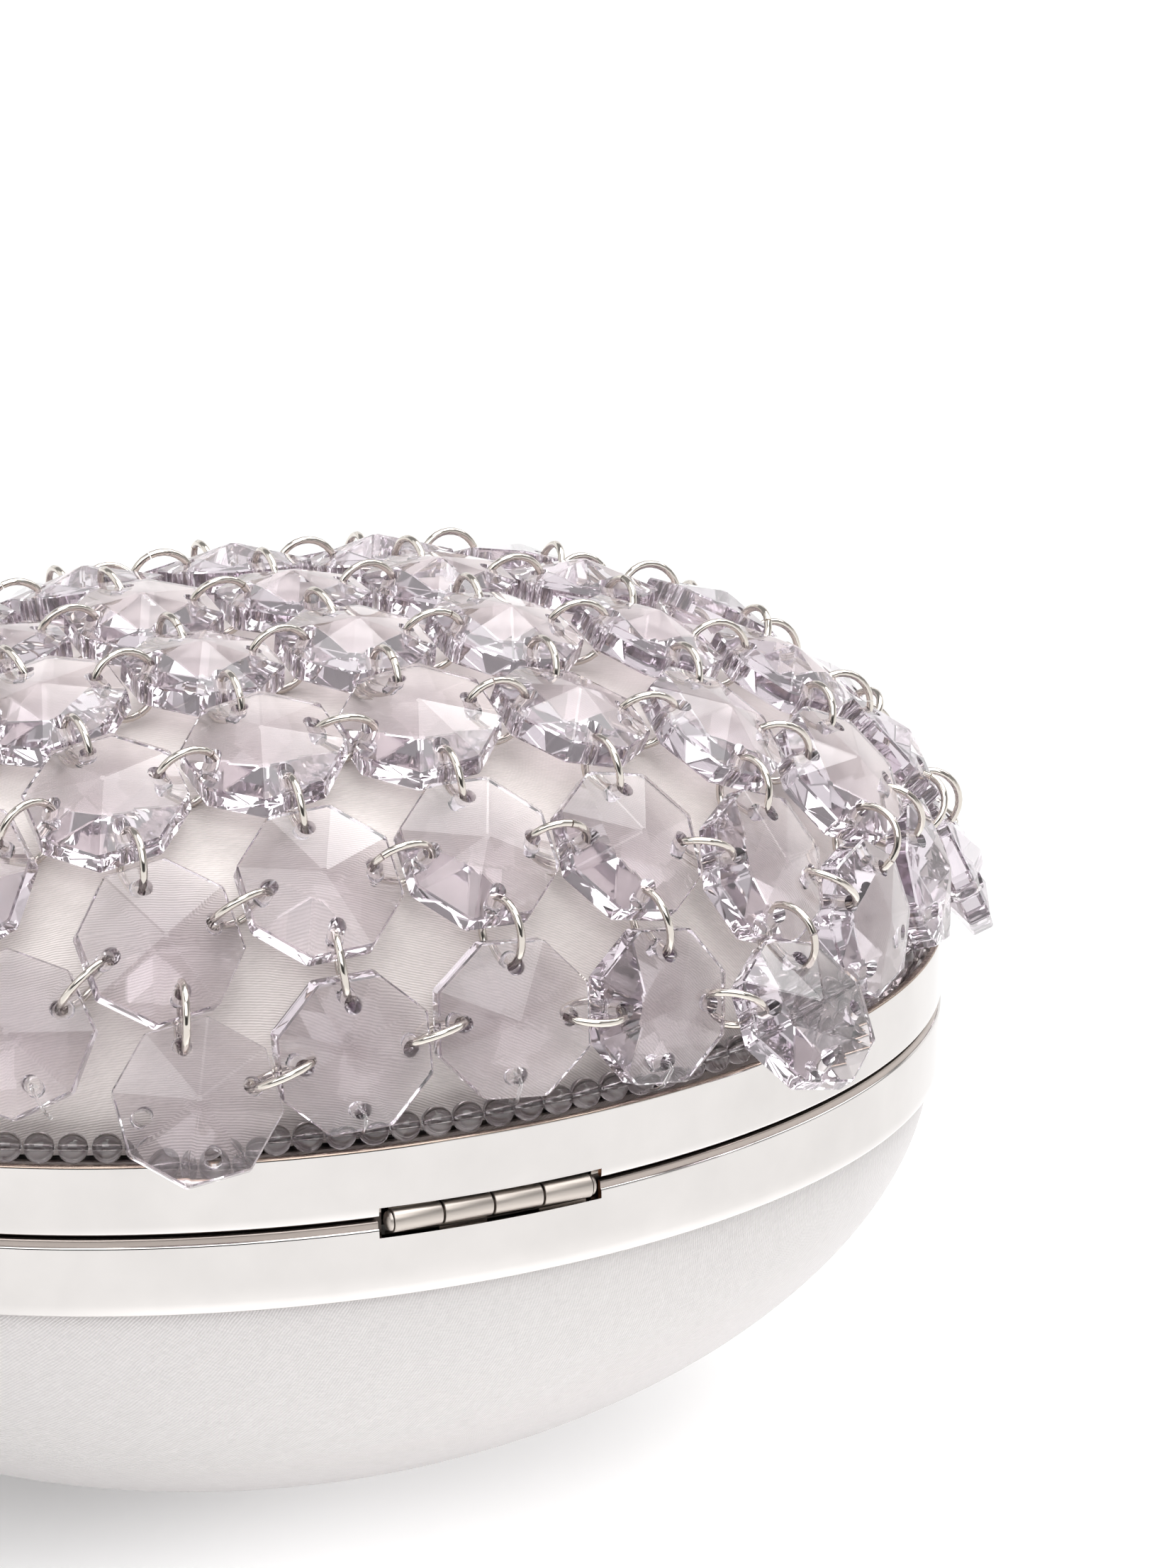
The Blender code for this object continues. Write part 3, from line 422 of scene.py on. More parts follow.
    @staticmethod
    def rod(name: str, start: float, end: float, radius: float, sides: int) -> bpy.types.Object:
        """Adds a round rod on the hinge axis.

        Args:
            name: Its name.
            start: X of its one end.
            end: X of its other end.
            radius: Its radius.
            sides: Sides of its section.

        Returns:
            The rod.
        """
        Bench.clear()
        middle = ((start + end) / 2, SIZES.hinge_y, SIZES.parting)
        bpy.ops.mesh.primitive_cylinder_add(
            vertices=sides, radius=radius, depth=end - start, location=middle, rotation=(0.0, math.pi / 2, 0.0)
        )
        return Bench.take(name)

    @staticmethod
    def sweep_oval(name: str, stations: Sequence[Station], segments: int, closed: bool = False) -> bpy.types.Object:
        """Draws one circle out through the rings of an oval piece.

        Args:
            name: The piece's name.
            stations: The rings in order. A last share of 0 closes the piece at a pole.
            segments: Points of the circle.
            closed: Whether the last ring meets the first.

        Returns:
            The piece.
        """
        Bench.clear()
        bpy.ops.mesh.primitive_circle_add(vertices=segments, radius=1.0, location=(0.0, 0.0, 0.0))
        piece = Bench.take(name)
        Bench.edit(piece, everything=True)
        first = stations[0]
        Bench.grow((SIZES.half_x - first.inset) * first.share, (SIZES.half_y - first.inset) * first.share)
        bpy.ops.transform.translate(value=(0.0, 0.0, first.z))
        ways = list(zip(stations, stations[1:]))
        if closed:
            ways.append((stations[-1], stations[0]))
        for here, there in ways:
            Bench.pull((0.0, 0.0, there.z - here.z))
            if there.share == 0:
                bpy.ops.mesh.merge(type="CENTER")
                continue
            turn_in = there.share / here.share
            across_x = (SIZES.half_x - there.inset) / (SIZES.half_x - here.inset) * turn_in
            across_y = (SIZES.half_y - there.inset) / (SIZES.half_y - here.inset) * turn_in
            Bench.grow(across_x, across_y)
        Bench.outward()
        Bench.done()
        return piece

    @staticmethod
    def tube(
        name: str, path: Sequence[Sequence[float]], radius: float, sides: int = 4, sharp: float = 50.0
    ) -> bpy.types.Object:
        """Draws a round wire or thread along a path.

        Args:
            name: The wire's name.
            path: The points that it follows.
            radius: Its radius.
            sides: Sides of half its section.
            sharp: Angle above which its edges stay sharp, in degrees.

        Returns:
            The wire as a closed mesh.
        """
        line = bpy.data.curves.new(name, "CURVE")
        line.dimensions = "3D"
        line.bevel_depth = radius
        line.bevel_resolution = sides // 2
        line.use_fill_caps = True
        spline = line.splines.new("POLY")
        spline.points.add(len(path) - 1)
        for knot, point in zip(spline.points, path):
            knot.co = (*point, 1.0)
        wire = bpy.data.objects.new(name, line)
        bpy.context.scene.collection.objects.link(wire)
        Bench.choose(wire)
        bpy.ops.object.convert(target="MESH")
        wire = bpy.context.object
        Bench.smooth(wire, sharp)
        return wire


def round_corners(corners: Sequence[tuple[float, float, float]], steps: int = 4) -> list[Station]:
    """Rounds the corners of a closed profile.

    Args:
        corners: (inset, z, radius) of each corner in order.
        steps: Points along each rounded corner, less one.

    Returns:
        The stations of the rounded profile.
    """
    stations = []
    count = len(corners)
    for number, (inset, z, radius) in enumerate(corners):
        here = Vector((inset, z))
        if radius == 0:
            stations.append(Station(inset, z))
            continue
        before = Vector(corners[number - 1][:2])
        after = Vector(corners[(number + 1) % count][:2])
        start = here + (before - here).normalized() * radius
        end = here + (after - here).normalized() * radius
        for step in range(steps + 1):
            share = step / steps
            point = start.lerp(here, share).lerp(here.lerp(end, share), share)
            stations.append(Station(point.x, point.y))
    return stations


class Nodes:
    """Places and joins the nodes of one tree."""

    def __init__(self, tree: bpy.types.NodeTree) -> None:
        """Keeps the tree."""
        self.tree = tree

    def add(self, kind: str, inputs: dict[str, object] | None = None, **settings: object) -> bpy.types.Node:
        """Adds a node.

        Args:
            kind: The node's type without ShaderNode.
            inputs: Values of its input sockets, by name or number.
            settings: Values of its own properties.

        Returns:
            The node.
        """
        node = self.tree.nodes.new(f"ShaderNode{kind}")
        for setting, value in settings.items():
            setattr(node, setting, value)
        for socket, value in (inputs or {}).items():
            node.inputs[socket].default_value = value
        return node

    def join(self, start: bpy.types.Node, out: str | int, end: bpy.types.Node, into: str | int) -> None:
        """Links one node's output to another's input."""
        self.tree.links.new(start.outputs[out], end.inputs[into])

    def sum(self, operation: str, first: object, second: object) -> bpy.types.Node:
        """Adds a Math node.

        Args:
            operation: What it works out.
            first: A number or a (node, output) pair.
            second: The same.

        Returns:
            The node.
        """
        node = self.add("Math", operation=operation)
        for number, value in enumerate((first, second)):
            if isinstance(value, tuple):
                self.join(value[0], value[1], node, number)
            else:
                node.inputs[number].default_value = value
        return node


class Noise(NamedTuple):
    """A noise: its scale or its scales along X and Y, its detail and roughness."""

    scale: float | tuple[float, float, float]
    detail: float
    roughness: float = 0.5

    def add(self, nodes: Nodes, source: Output) -> bpy.types.Node:
        """Adds the noise to a tree.

        Args:
            nodes: The tree's nodes.
            source: Node and output that give its Vector.

        Returns:
            The noise node.
        """
        scale = self.scale
        if isinstance(scale, tuple):
            stretch = nodes.add("Mapping", {"Scale": scale})
            nodes.join(source[0], source[1], stretch, "Vector")
            source, scale = (stretch, 0), 1.0
        node = nodes.add("TexNoise", {"Scale": scale, "Detail": self.detail, "Roughness": self.roughness})
        nodes.join(source[0], source[1], node, "Vector")
        return node


class Effect:
    """Builds the node groups that several finishes share, each once."""

    WEAVE_DRIFT = Noise(260.0, 2.0)
    WEAVE_FLOATS = Noise((900.0, 5200.0, 1.0), 3.0, 0.6)
    WEAVE_WANDER = 2.0
    FLOAT_SHARE = 1.6
    RIB_TONE = 0.18
    SCRATCHES = Noise(1.0, 3.0, 0.65)
    MOTTLE = Noise(140.0, 4.0, 0.55)

    @staticmethod
    def group(
        name: str, inputs: dict[str, tuple[str, object]], outputs: Sequence[str]
    ) -> tuple[bpy.types.NodeTree, bool]:
        """Gives a group of a name, new or already built.

        Args:
            name: The group's name.
            inputs: Socket type and default by name.
            outputs: Names of its number outputs.

        Returns:
            The group, and whether it still has to be filled.
        """
        found = bpy.data.node_groups.get(name)
        if found is not None:
            return found, False
        tree = bpy.data.node_groups.new(name, "ShaderNodeTree")
        for socket, (kind, value) in inputs.items():
            made = tree.interface.new_socket(socket, in_out="INPUT", socket_type=f"NodeSocket{kind}")
            if value is not None:
                made.default_value = value
        for socket in outputs:
            tree.interface.new_socket(socket, in_out="OUTPUT", socket_type="NodeSocketFloat")
        return tree, True

    @staticmethod
    def weave() -> bpy.types.NodeTree:
        """Satin weave: fine slanting floats with slubs, from a Vector in metres.

        Returns:
            The group, with Height and Tone.
        """
        inputs = {"Vector": ("Vector", None), "Pitch": ("Float", 0.0003), "Slant": ("Float", 0.46)}
        tree, fresh = Effect.group("satin weave", inputs, ("Height", "Tone"))
        if not fresh:
            return tree
        nodes = Nodes(tree)
        start = tree.nodes.new("NodeGroupInput")
        end = tree.nodes.new("NodeGroupOutput")
        split = nodes.add("SeparateXYZ")
        nodes.join(start, "Vector", split, 0)
        drift = Effect.WEAVE_DRIFT.add(nodes, (start, "Vector"))
        slanted = nodes.sum("MULTIPLY", (split, "X"), (start, "Slant"))
        across = nodes.sum("ADD", (split, "Y"), (slanted, 0))
        turns = nodes.sum("DIVIDE", (across, 0), (start, "Pitch"))
        wander = nodes.sum("MULTIPLY", (drift, "Fac"), Effect.WEAVE_WANDER)
        turns = nodes.sum("ADD", (turns, 0), (wander, 0))
        phase = nodes.sum("MULTIPLY", (turns, 0), 2 * math.pi)
        ribs = nodes.sum("SINE", (phase, 0), 0.0)
        floats = Effect.WEAVE_FLOATS.add(nodes, (start, "Vector"))
        rough = nodes.sum("MULTIPLY", (floats, "Fac"), Effect.FLOAT_SHARE)
        height = nodes.sum("ADD", (ribs, 0), (rough, 0))
        nodes.join(height, 0, end, "Height")
        soft = nodes.sum("MULTIPLY", (ribs, 0), Effect.RIB_TONE)
        tone = nodes.sum("ADD", (soft, 0), (floats, "Fac"))
        nodes.join(tone, 0, end, "Tone")
        return tree

    @staticmethod
    def grain() -> bpy.types.NodeTree:
        """Brushed or polished metal: long fine scratches along X, and soft mottling.

        Returns:
            The group, with Scratches and Mottle.
        """
        inputs = {"Vector": ("Vector", None), "Along": ("Float", 60.0), "Across": ("Float", 9000.0)}
        tree, fresh = Effect.group("metal grain", inputs, ("Scratches", "Mottle"))
        if not fresh:
            return tree
        nodes = Nodes(tree)
        start = tree.nodes.new("NodeGroupInput")
        end = tree.nodes.new("NodeGroupOutput")
        scale = nodes.add("CombineXYZ")
        nodes.join(start, "Along", scale, "X")
        nodes.join(start, "Across", scale, "Y")
        nodes.join(start, "Across", scale, "Z")
        stretch = nodes.add("VectorMath", operation="MULTIPLY")
        nodes.join(start, "Vector", stretch, 0)
        nodes.join(scale, 0, stretch, 1)
        scratches = Effect.SCRATCHES.add(nodes, (stretch, 0))
        nodes.join(scratches, "Fac", end, "Scratches")
        mottle = Effect.MOTTLE.add(nodes, (start, "Vector"))
        nodes.join(mottle, "Fac", end, "Mottle")
        return tree


@dataclass(frozen=True)
class Finish:
    """A finish with its base values. Each kind adds its own nodes."""

    name: str
    colour: Colour
    roughness: float
    noise_span: ClassVar[tuple[float, float]] = (0.3, 0.7)

    def material(self) -> bpy.types.Material:
        """Gives the finish's material, made once.

        Returns:
            The material.
        """
        found = bpy.data.materials.get(self.name)
        if found is not None:
            return found
        made = bpy.data.materials.new(self.name)
        made.use_nodes = True
        made.diffuse_color = (*self.colour, 1.0)
        nodes = Nodes(made.node_tree)
        shader = made.node_tree.nodes["Principled BSDF"]
        shader.inputs["Base Color"].default_value = (*self.colour, 1.0)
        shader.inputs["Roughness"].default_value = self.roughness
        self.dress(nodes, shader)
        return made

    def dress(self, nodes: Nodes, shader: bpy.types.Node) -> None:
        """Adds the nodes of this kind of finish."""

    def use(self, nodes: Nodes, group: bpy.types.NodeTree, source: Output, **values: float) -> bpy.types.Node:
        """Places a shared effect.

        Args:
            nodes: The material's nodes.
            group: The effect.
            source: Node and output that give its Vector.
            values: Its number inputs.

        Returns:
            The group node.
        """
        node = nodes.add("Group", node_tree=group)
        nodes.join(source[0], source[1], node, "Vector")
        for socket, value in values.items():
            node.inputs[socket].default_value = value
        return node

    def grain(self, nodes: Nodes, across: float) -> bpy.types.Node:
        """Places the shared grain on the piece's own coordinates."""
        return self.use(nodes, Effect.grain(), (nodes.add("TexCoord"), "Object"), Across=across)

    def ramp(self, nodes: Nodes, value: Output, low: float, high: float) -> bpy.types.Node:
        """Maps a noise value to a range.

        Args:
            nodes: The material's nodes.
            value: Node and output that give the noise.
            low: What its low end becomes.
            high: What its high end becomes.

        Returns:
            The mapping node.
        """
        least, most = self.noise_span
        node = nodes.add("MapRange", {"From Min": least, "From Max": most, "To Min": low, "To Max": high})
        nodes.join(value[0], value[1], node, "Value")
        return node

    def mottle(self, nodes: Nodes, value: Output, shader: bpy.types.Node, dark: float, light: float = 1.0) -> None:
        """Varies the base colour with a noise.

        Args:
            nodes: The material's nodes.
            value: Node and output that give the noise.
            shader: The material's shader.
            dark: The darkest share of the base colour.
            light: The lightest.
        """
        shade = self.ramp(nodes, value, 0.0, 1.0)
        node = nodes.add("Mix", data_type="RGBA")
        node.inputs["A"].default_value = (*(part * dark for part in self.colour), 1.0)
        node.inputs["B"].default_value = (*(min(part * light, 1.0) for part in self.colour), 1.0)
        nodes.join(shade, 0, node, "Factor")
        nodes.join(node, "Result", shader, "Base Color")

    def gloss(self, nodes: Nodes, value: Output, shader: bpy.types.Node, low: float, high: float) -> None:
        """Varies the roughness with a noise.

        Args:
            nodes: The material's nodes.
            value: Node and output that give the noise.
            shader: The material's shader.
            low: What is added to the roughness at the noise's low end.
            high: What is added at its high end.
        """
        gloss = self.ramp(nodes, value, self.roughness + low, self.roughness + high)
        nodes.join(gloss, 0, shader, "Roughness")

    def bump(self, nodes: Nodes, height: Output, shader: bpy.types.Node, strength: float, distance: float) -> None:
        """Raises a height into the shader's normal."""
        node = nodes.add("Bump", {"Strength": strength, "Distance": distance})
        nodes.join(height[0], height[1], node, "Height")
        nodes.join(node, 0, shader, "Normal")


@dataclass(frozen=True)
class Satin(Finish):
    """Woven satin on the piece's own UV map, which is in metres."""

    pitch: float = 0.00026
    slant: float = 0.46
    relief: float = 0.5
    float_height: float = 0.00003
    dark: float = 0.9
    light: float = 1.05
    gloss_swing: float = 0.06
    sheen: float = 0.25
    sheen_roughness: float = 0.35

    def dress(self, nodes: Nodes, shader: bpy.types.Node) -> None:
        """Adds the weave, its tone and its soft sheen.

        Args:
            nodes: The material's nodes.
            shader: Its shader.
        """
        cloth = nodes.add("UVMap", uv_map="cloth")
        weave = self.use(nodes, Effect.weave(), (cloth, "UV"), Pitch=self.pitch, Slant=self.slant)
        self.mottle(nodes, (weave, "Tone"), shader, self.dark, self.light)
        self.gloss(nodes, (weave, "Tone"), shader, self.gloss_swing, -self.gloss_swing)
        self.bump(nodes, (weave, "Height"), shader, self.relief, self.float_height)
        shader.inputs["Sheen Weight"].default_value = self.sheen
        shader.inputs["Sheen Roughness"].default_value = self.sheen_roughness


@dataclass(frozen=True)
class Metal(Finish):
    """Plated metal, polished or brushed along X."""

    across: float = 9000.0
    scratch: float = 0.04
    depth: float = 0.000002
    dark: float = 0.93
    relief: float = 0.25

    def dress(self, nodes: Nodes, shader: bpy.types.Node) -> None:
        """Adds scratches and a soft mottling of the plating.

        Args:
            nodes: The material's nodes.
            shader: Its shader.
        """
        shader.inputs["Metallic"].default_value = 1.0
        grain = self.grain(nodes, self.across)
        self.mottle(nodes, (grain, "Mottle"), shader, self.dark)
        self.gloss(nodes, (grain, "Scratches"), shader, 0.0, self.scratch)
        self.bump(nodes, (grain, "Scratches"), shader, self.relief, self.depth)


@dataclass(frozen=True)
class Glass(Finish):
    """Clear or smoky glass, which can deepen in colour with its thickness."""

    ior: float = 1.52
    veil: float = 0.03
    clearness: float = 1.0
    depth_tint: Colour = (1.0, 1.0, 1.0)
    depth: float = 0.0
    polish: float = 0.01
    across: float = 400.0

    def dress(self, nodes: Nodes, shader: bpy.types.Node) -> None:
        """Makes the shader clear, with faint clouds of tint and of polish.

        Args:
            nodes: The material's nodes.
            shader: Its shader.
        """
        shader.inputs["Transmission Weight"].default_value = self.clearness
        shader.inputs["IOR"].default_value = self.ior
        grain = self.grain(nodes, self.across)
        self.mottle(nodes, (grain, "Mottle"), shader, 1 - self.veil)
        self.gloss(nodes, (grain, "Mottle"), shader, 0.0, self.polish)
        if self.depth > 0:
            body = nodes.add("VolumeAbsorption", {"Color": (*self.depth_tint, 1.0), "Density": self.depth})
            nodes.join(body, 0, nodes.tree.nodes["Material Output"], "Volume")


@dataclass(frozen=True)
class Board(Finish):
    """Moulded board of the hard shells."""

    across: float = 700.0
    dark: float = 0.85
    relief: float = 0.2
    depth: float = 0.00005

    def dress(self, nodes: Nodes, shader: bpy.types.Node) -> None:
        """Adds fibre flecks and a pressed surface.

        Args:
            nodes: The material's nodes.
            shader: Its shader.
        """
        grain = self.grain(nodes, self.across)
        self.mottle(nodes, (grain, "Scratches"), shader, self.dark)
        self.bump(nodes, (grain, "Mottle"), shader, self.relief, self.depth)


DOME_SATIN = Satin("silver white satin", (0.86, 0.79, 0.765), 0.46)
# Painted shade: the dome's satin with its colour darkened for the bowl, which the glowing table lights; its coarser,
# steeper weave is the cloth's own.
BOWL_SATIN_WITH_SHADE = Satin("bowl satin with painted shade", (0.68, 0.65, 0.645), 0.5, pitch=0.00085, slant=2.8, relief=0.7)
LINING_SATIN = Satin("lining satin", (0.74, 0.72, 0.70), 0.5, pitch=0.0004)
POLISHED_SILVER = Metal("polished silver", (0.71, 0.682, 0.665), 0.06, depth=0.000001)
RING_SILVER = Metal("jump ring silver", (0.69, 0.64, 0.585), 0.07, scratch=0.05)
# Painted shade: near-black metal standing in for the shade inside the parting groove, used on the upper band's
# underside and the closing strips' low zone.
GROOVE_SHADE = Metal("painted groove shade", (0.07, 0.058, 0.052), 0.35, scratch=0.1)
# Darker, warmer metal on the upper band's top edge, which keeps the edge's glints dim.
WARM_DARK_EDGE = Metal("warm dark top edge", (0.46, 0.37, 0.31), 0.2, scratch=0.1)
# The lip's own warm brushed nickel, darkened with painted shade from the parting groove above it.
LIP_NICKEL_WITH_SHADE = Metal("lip nickel with painted shade", (0.47, 0.41, 0.375), 0.3, scratch=0.1)
BARE_COPPER = Metal("bare copper", (0.50, 0.24, 0.13), 0.35, scratch=0.1)
BRUSHED_NICKEL = Metal("brushed warm nickel", (0.53, 0.48, 0.44), 0.32, across=7000.0, scratch=0.14, depth=0.000006)
SPRING_STEEL = Metal("spring steel", (0.60, 0.60, 0.62), 0.28, scratch=0.1)
CLEAR_CRYSTAL = Glass(
    "clear lilac crystal", (0.98, 0.955, 0.96), 0.0,
    ior=1.54, clearness=0.96, depth_tint=(0.80, 0.757, 0.802), depth=108.0,
)
SMOKE_GLASS = Glass("smoke grey glass", (0.60, 0.57, 0.58), 0.0, ior=1.6, veil=0.12)
NYLON = Glass("clear nylon", (0.93, 0.92, 0.92), 0.06, ior=1.45)
SHELL_BOARD = Board("shell board", (0.50, 0.49, 0.47), 0.7)


def finish_piece(
    obj: bpy.types.Object, finish: Finish, body: Body, nodes: Sequence[str]
) -> bpy.types.Object:
    """Gives a piece its finish and its body, and hides the CAD nodes that it stands for.

    Args:
        obj: The piece.
        finish: Its finish.
        body: The body that it rides on.
        nodes: The CAD nodes that it stands for.

    Returns:
        The piece.
    """
    if not obj.data.materials:
        obj.data.materials.append(finish.material())
    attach(obj, body.value)
    if nodes:
        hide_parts(*nodes)
    LOG.info("%s: %d faces, rides on %s", obj.name, len(obj.data.polygons), body.value)
    return obj


def paint_faces(
    obj: bpy.types.Object, finishes: Sequence[Finish], choose: Callable[[bpy.types.MeshPolygon], Finish]
) -> None:
    """Gives each face of a piece one of several finishes.

    Args:
        obj: The piece.
        finishes: Its finishes in order.
        choose: Says which of them a face takes.
    """
    for finish in finishes:
        obj.data.materials.append(finish.material())
    for face in obj.data.polygons:
        face.material_index = finishes.index(choose(face))


@dataclass
class FrameBands:
    """The two polished oval bands that meet at the parting groove."""

    segments: int = 240
    crown: float = 0.00009
    crown_steps: int = 6
    edge: float = 0.00028
    # Share of the edge radius below the top that takes the darker, warmer edge finish.
    dark_edge_share: float = 0.6
    lip_inset: float = 0.0003
    lip_rise: float = 0.00065
    lip_lean: float = 0.00005
    lip_edge: float = 0.00025
    zone_margin: float = 0.00001
    cut_overrun: float = 0.004
    window_depth: float = 0.003
    window_half_width: float = 0.0043
    window_half_height: float = 0.0018
    button_rise: float = 0.0033

    def crowned_face(self, low: float, high: float) -> list[tuple[float, float, float]]:
        """Lists the corners of a band's outer face, a little fuller at its middle.

        Args:
            low: The face's lower edge.
            high: Its upper edge.

        Returns:
            The corners, (inset, z, radius).
        """
        corners = []
        for step in range(self.crown_steps + 1):
            share = step / self.crown_steps
            radius = self.edge if step in (0, self.crown_steps) else 0.0
            corners.append((self.crown * (2 * share - 1) ** 2, low + (high - low) * share, radius))
        return corners

    def slot_cutter(self) -> bpy.types.Object:
        """Makes the block that notches the hinge slot.

        Returns:
            The block.
        """
        half = SIZES.hinge_slot_length / 2
        rise = SIZES.hinge_slot_height / 2
        depth = SIZES.hinge_inset + SIZES.knuckle_radius + SIZES.touch_gap
        low = (-half, -SIZES.half_y - self.cut_overrun, SIZES.parting - rise)
        high = (half, -SIZES.half_y + depth, SIZES.parting + rise)
        return Bench.block("slot_cutter", low, high)

    def in_slot_end(self, face: bpy.types.MeshPolygon) -> bool:
        """Says whether a face is an end wall of the hinge slot."""
        aside = abs(abs(face.center.x) - SIZES.hinge_slot_length / 2)
        return abs(face.normal.x) > FACES_SQUARELY and aside < self.zone_margin and face.center.y < 0

    def build_lower(self) -> None:
        """Builds the lower band with its rounded brushed lip, whose nickel is darkened with painted shade from the
        groove.
        """
        wall = SIZES.band_wall
        top = SIZES.lower_top
        corners = self.crowned_face(SIZES.bowl_depth, top)
        corners += [
            (self.lip_inset, top, 0.0),
            (self.lip_inset + self.lip_lean, top + self.lip_rise, self.lip_edge),
            (wall, top + self.lip_rise, SIZES.fine_edge),
            (wall, SIZES.bowl_depth, SIZES.edge),
        ]
        band = Bench.sweep_oval("lower_band", round_corners(corners), self.segments, closed=True)
        Bench.cut(band, self.slot_cutter())

        def lower_finish(face: bpy.types.MeshPolygon) -> Finish:
            """Says which finish a face takes."""
            if self.in_slot_end(face):
                return BARE_COPPER
            # The lip in the groove takes warm nickel darkened with painted shade.
            return LIP_NICKEL_WITH_SHADE if face.center.z > top + self.zone_margin else POLISHED_SILVER

        paint_faces(band, (POLISHED_SILVER, LIP_NICKEL_WITH_SHADE, BARE_COPPER), lower_finish)
        Bench.smooth(band, SIZES.sharp_angle)
        finish_piece(band, POLISHED_SILVER, Body.BASE, ["lower_frame"])

    def build_upper(self) -> None:
        """Builds the upper band with its ledge and the button's window; the band's underside over the parting groove is
        painted with shade.
        """
        wall = SIZES.band_wall
        low_ledge = SIZES.ledge_top - SIZES.ledge_thickness
        corners = self.crowned_face(SIZES.upper_edge, SIZES.upper_top)
        corners += [
            (wall, SIZES.upper_top, SIZES.edge),
            (wall, SIZES.ledge_top, 0.0),
            (SIZES.ledge_inset, SIZES.ledge_top, SIZES.fine_edge),
            (SIZES.ledge_inset, low_ledge, SIZES.fine_edge),
            (wall, low_ledge, 0.0),
            (wall, SIZES.upper_edge, SIZES.edge),
        ]
        band = Bench.sweep_oval("upper_band", round_corners(corners), self.segments, closed=True)
        Bench.cut(band, self.slot_cutter())
        level = SIZES.parting + self.button_rise
        low = (-self.window_half_width, SIZES.half_y - self.window_depth, level - self.window_half_height)
        high = (self.window_half_width, SIZES.half_y + self.cut_overrun, level + self.window_half_height)
        Bench.cut(band, Bench.block("window_cutter", low, high))

        def upper_finish(face: bpy.types.MeshPolygon) -> Finish:
            """Says which finish a face takes."""
            if self.in_slot_end(face):
                return BARE_COPPER
            # The underside over the parting groove takes painted shade.
            if face.center.z < SIZES.upper_edge + self.zone_margin:
                return GROOVE_SHADE
            # The band's top edge takes the darker, warmer finish.
            return WARM_DARK_EDGE if face.center.z > SIZES.upper_top - self.edge * self.dark_edge_share else POLISHED_SILVER

        paint_faces(band, (POLISHED_SILVER, GROOVE_SHADE, WARM_DARK_EDGE, BARE_COPPER), upper_finish)
        Bench.smooth(band, SIZES.sharp_angle)
        finish_piece(band, POLISHED_SILVER, Body.LID, ["upper_frame"])

    def build(self) -> None:
        """Builds both bands."""
        self.build_lower()
        self.build_upper()


@dataclass
class ClosingLips:
    """The thin strip inside the lower band that enters the upper band."""

    segments: int = 160
    thickness: float = 0.0005
    rise: float = 0.0036
    foot_drop: float = 0.0046
    catch_half: float = 0.0065
    # Height over the parting below which the strip is painted with groove shade.
    shade_rise: float = 0.0006

    def build_side(self, name: str, way: float) -> None:
        """Builds one strip.

        Args:
            name: The CAD node that it stands for.
            way: 1 for the strip at +X, -1 for the one at -X.
        """
        inset = SIZES.lip_inset
        inner = inset + self.thickness
        top = SIZES.parting + self.rise
        foot = SIZES.lower_top - self.foot_drop
        shade_top = SIZES.parting + self.shade_rise
        corners = [
            (inset, foot, 0.0),
            (inset, shade_top, 0.0),
            (inset, top, SIZES.edge),
            (inner, top, SIZES.edge),
            (inner, foot, 0.0),
        ]
        strip = Bench.sweep_oval(f"{name}_strip", round_corners(corners, 3), self.segments, closed=True)
        hinge_end = Vector((way * (SIZES.hinge_slot_length / 2 + SIZES.touch_gap), -SIZES.half_y, 0.0))
        catch_end = Vector((way * (self.catch_half + SIZES.touch_gap), SIZES.half_y, 0.0))
        along = catch_end - hinge_end
        normal = Vector((along.y, -along.x, 0.0)) * way
        Bench.trim(strip, [(hinge_end, normal)])
        # The strip's low zone, seen in the parting groove, is painted with shade.
        paint_faces(
            strip,
            (BRUSHED_NICKEL, GROOVE_SHADE),
            lambda face: GROOVE_SHADE if face.center.z < shade_top else BRUSHED_NICKEL,
        )
        Bench.smooth(strip, SIZES.sharp_angle)
        finish_piece(strip, BRUSHED_NICKEL, Body.BASE, [name])

    def build(self) -> None:
        """Builds both strips."""
        self.build_side("closing_lip_right", 1.0)
        self.build_side("closing_lip_left", -1.0)


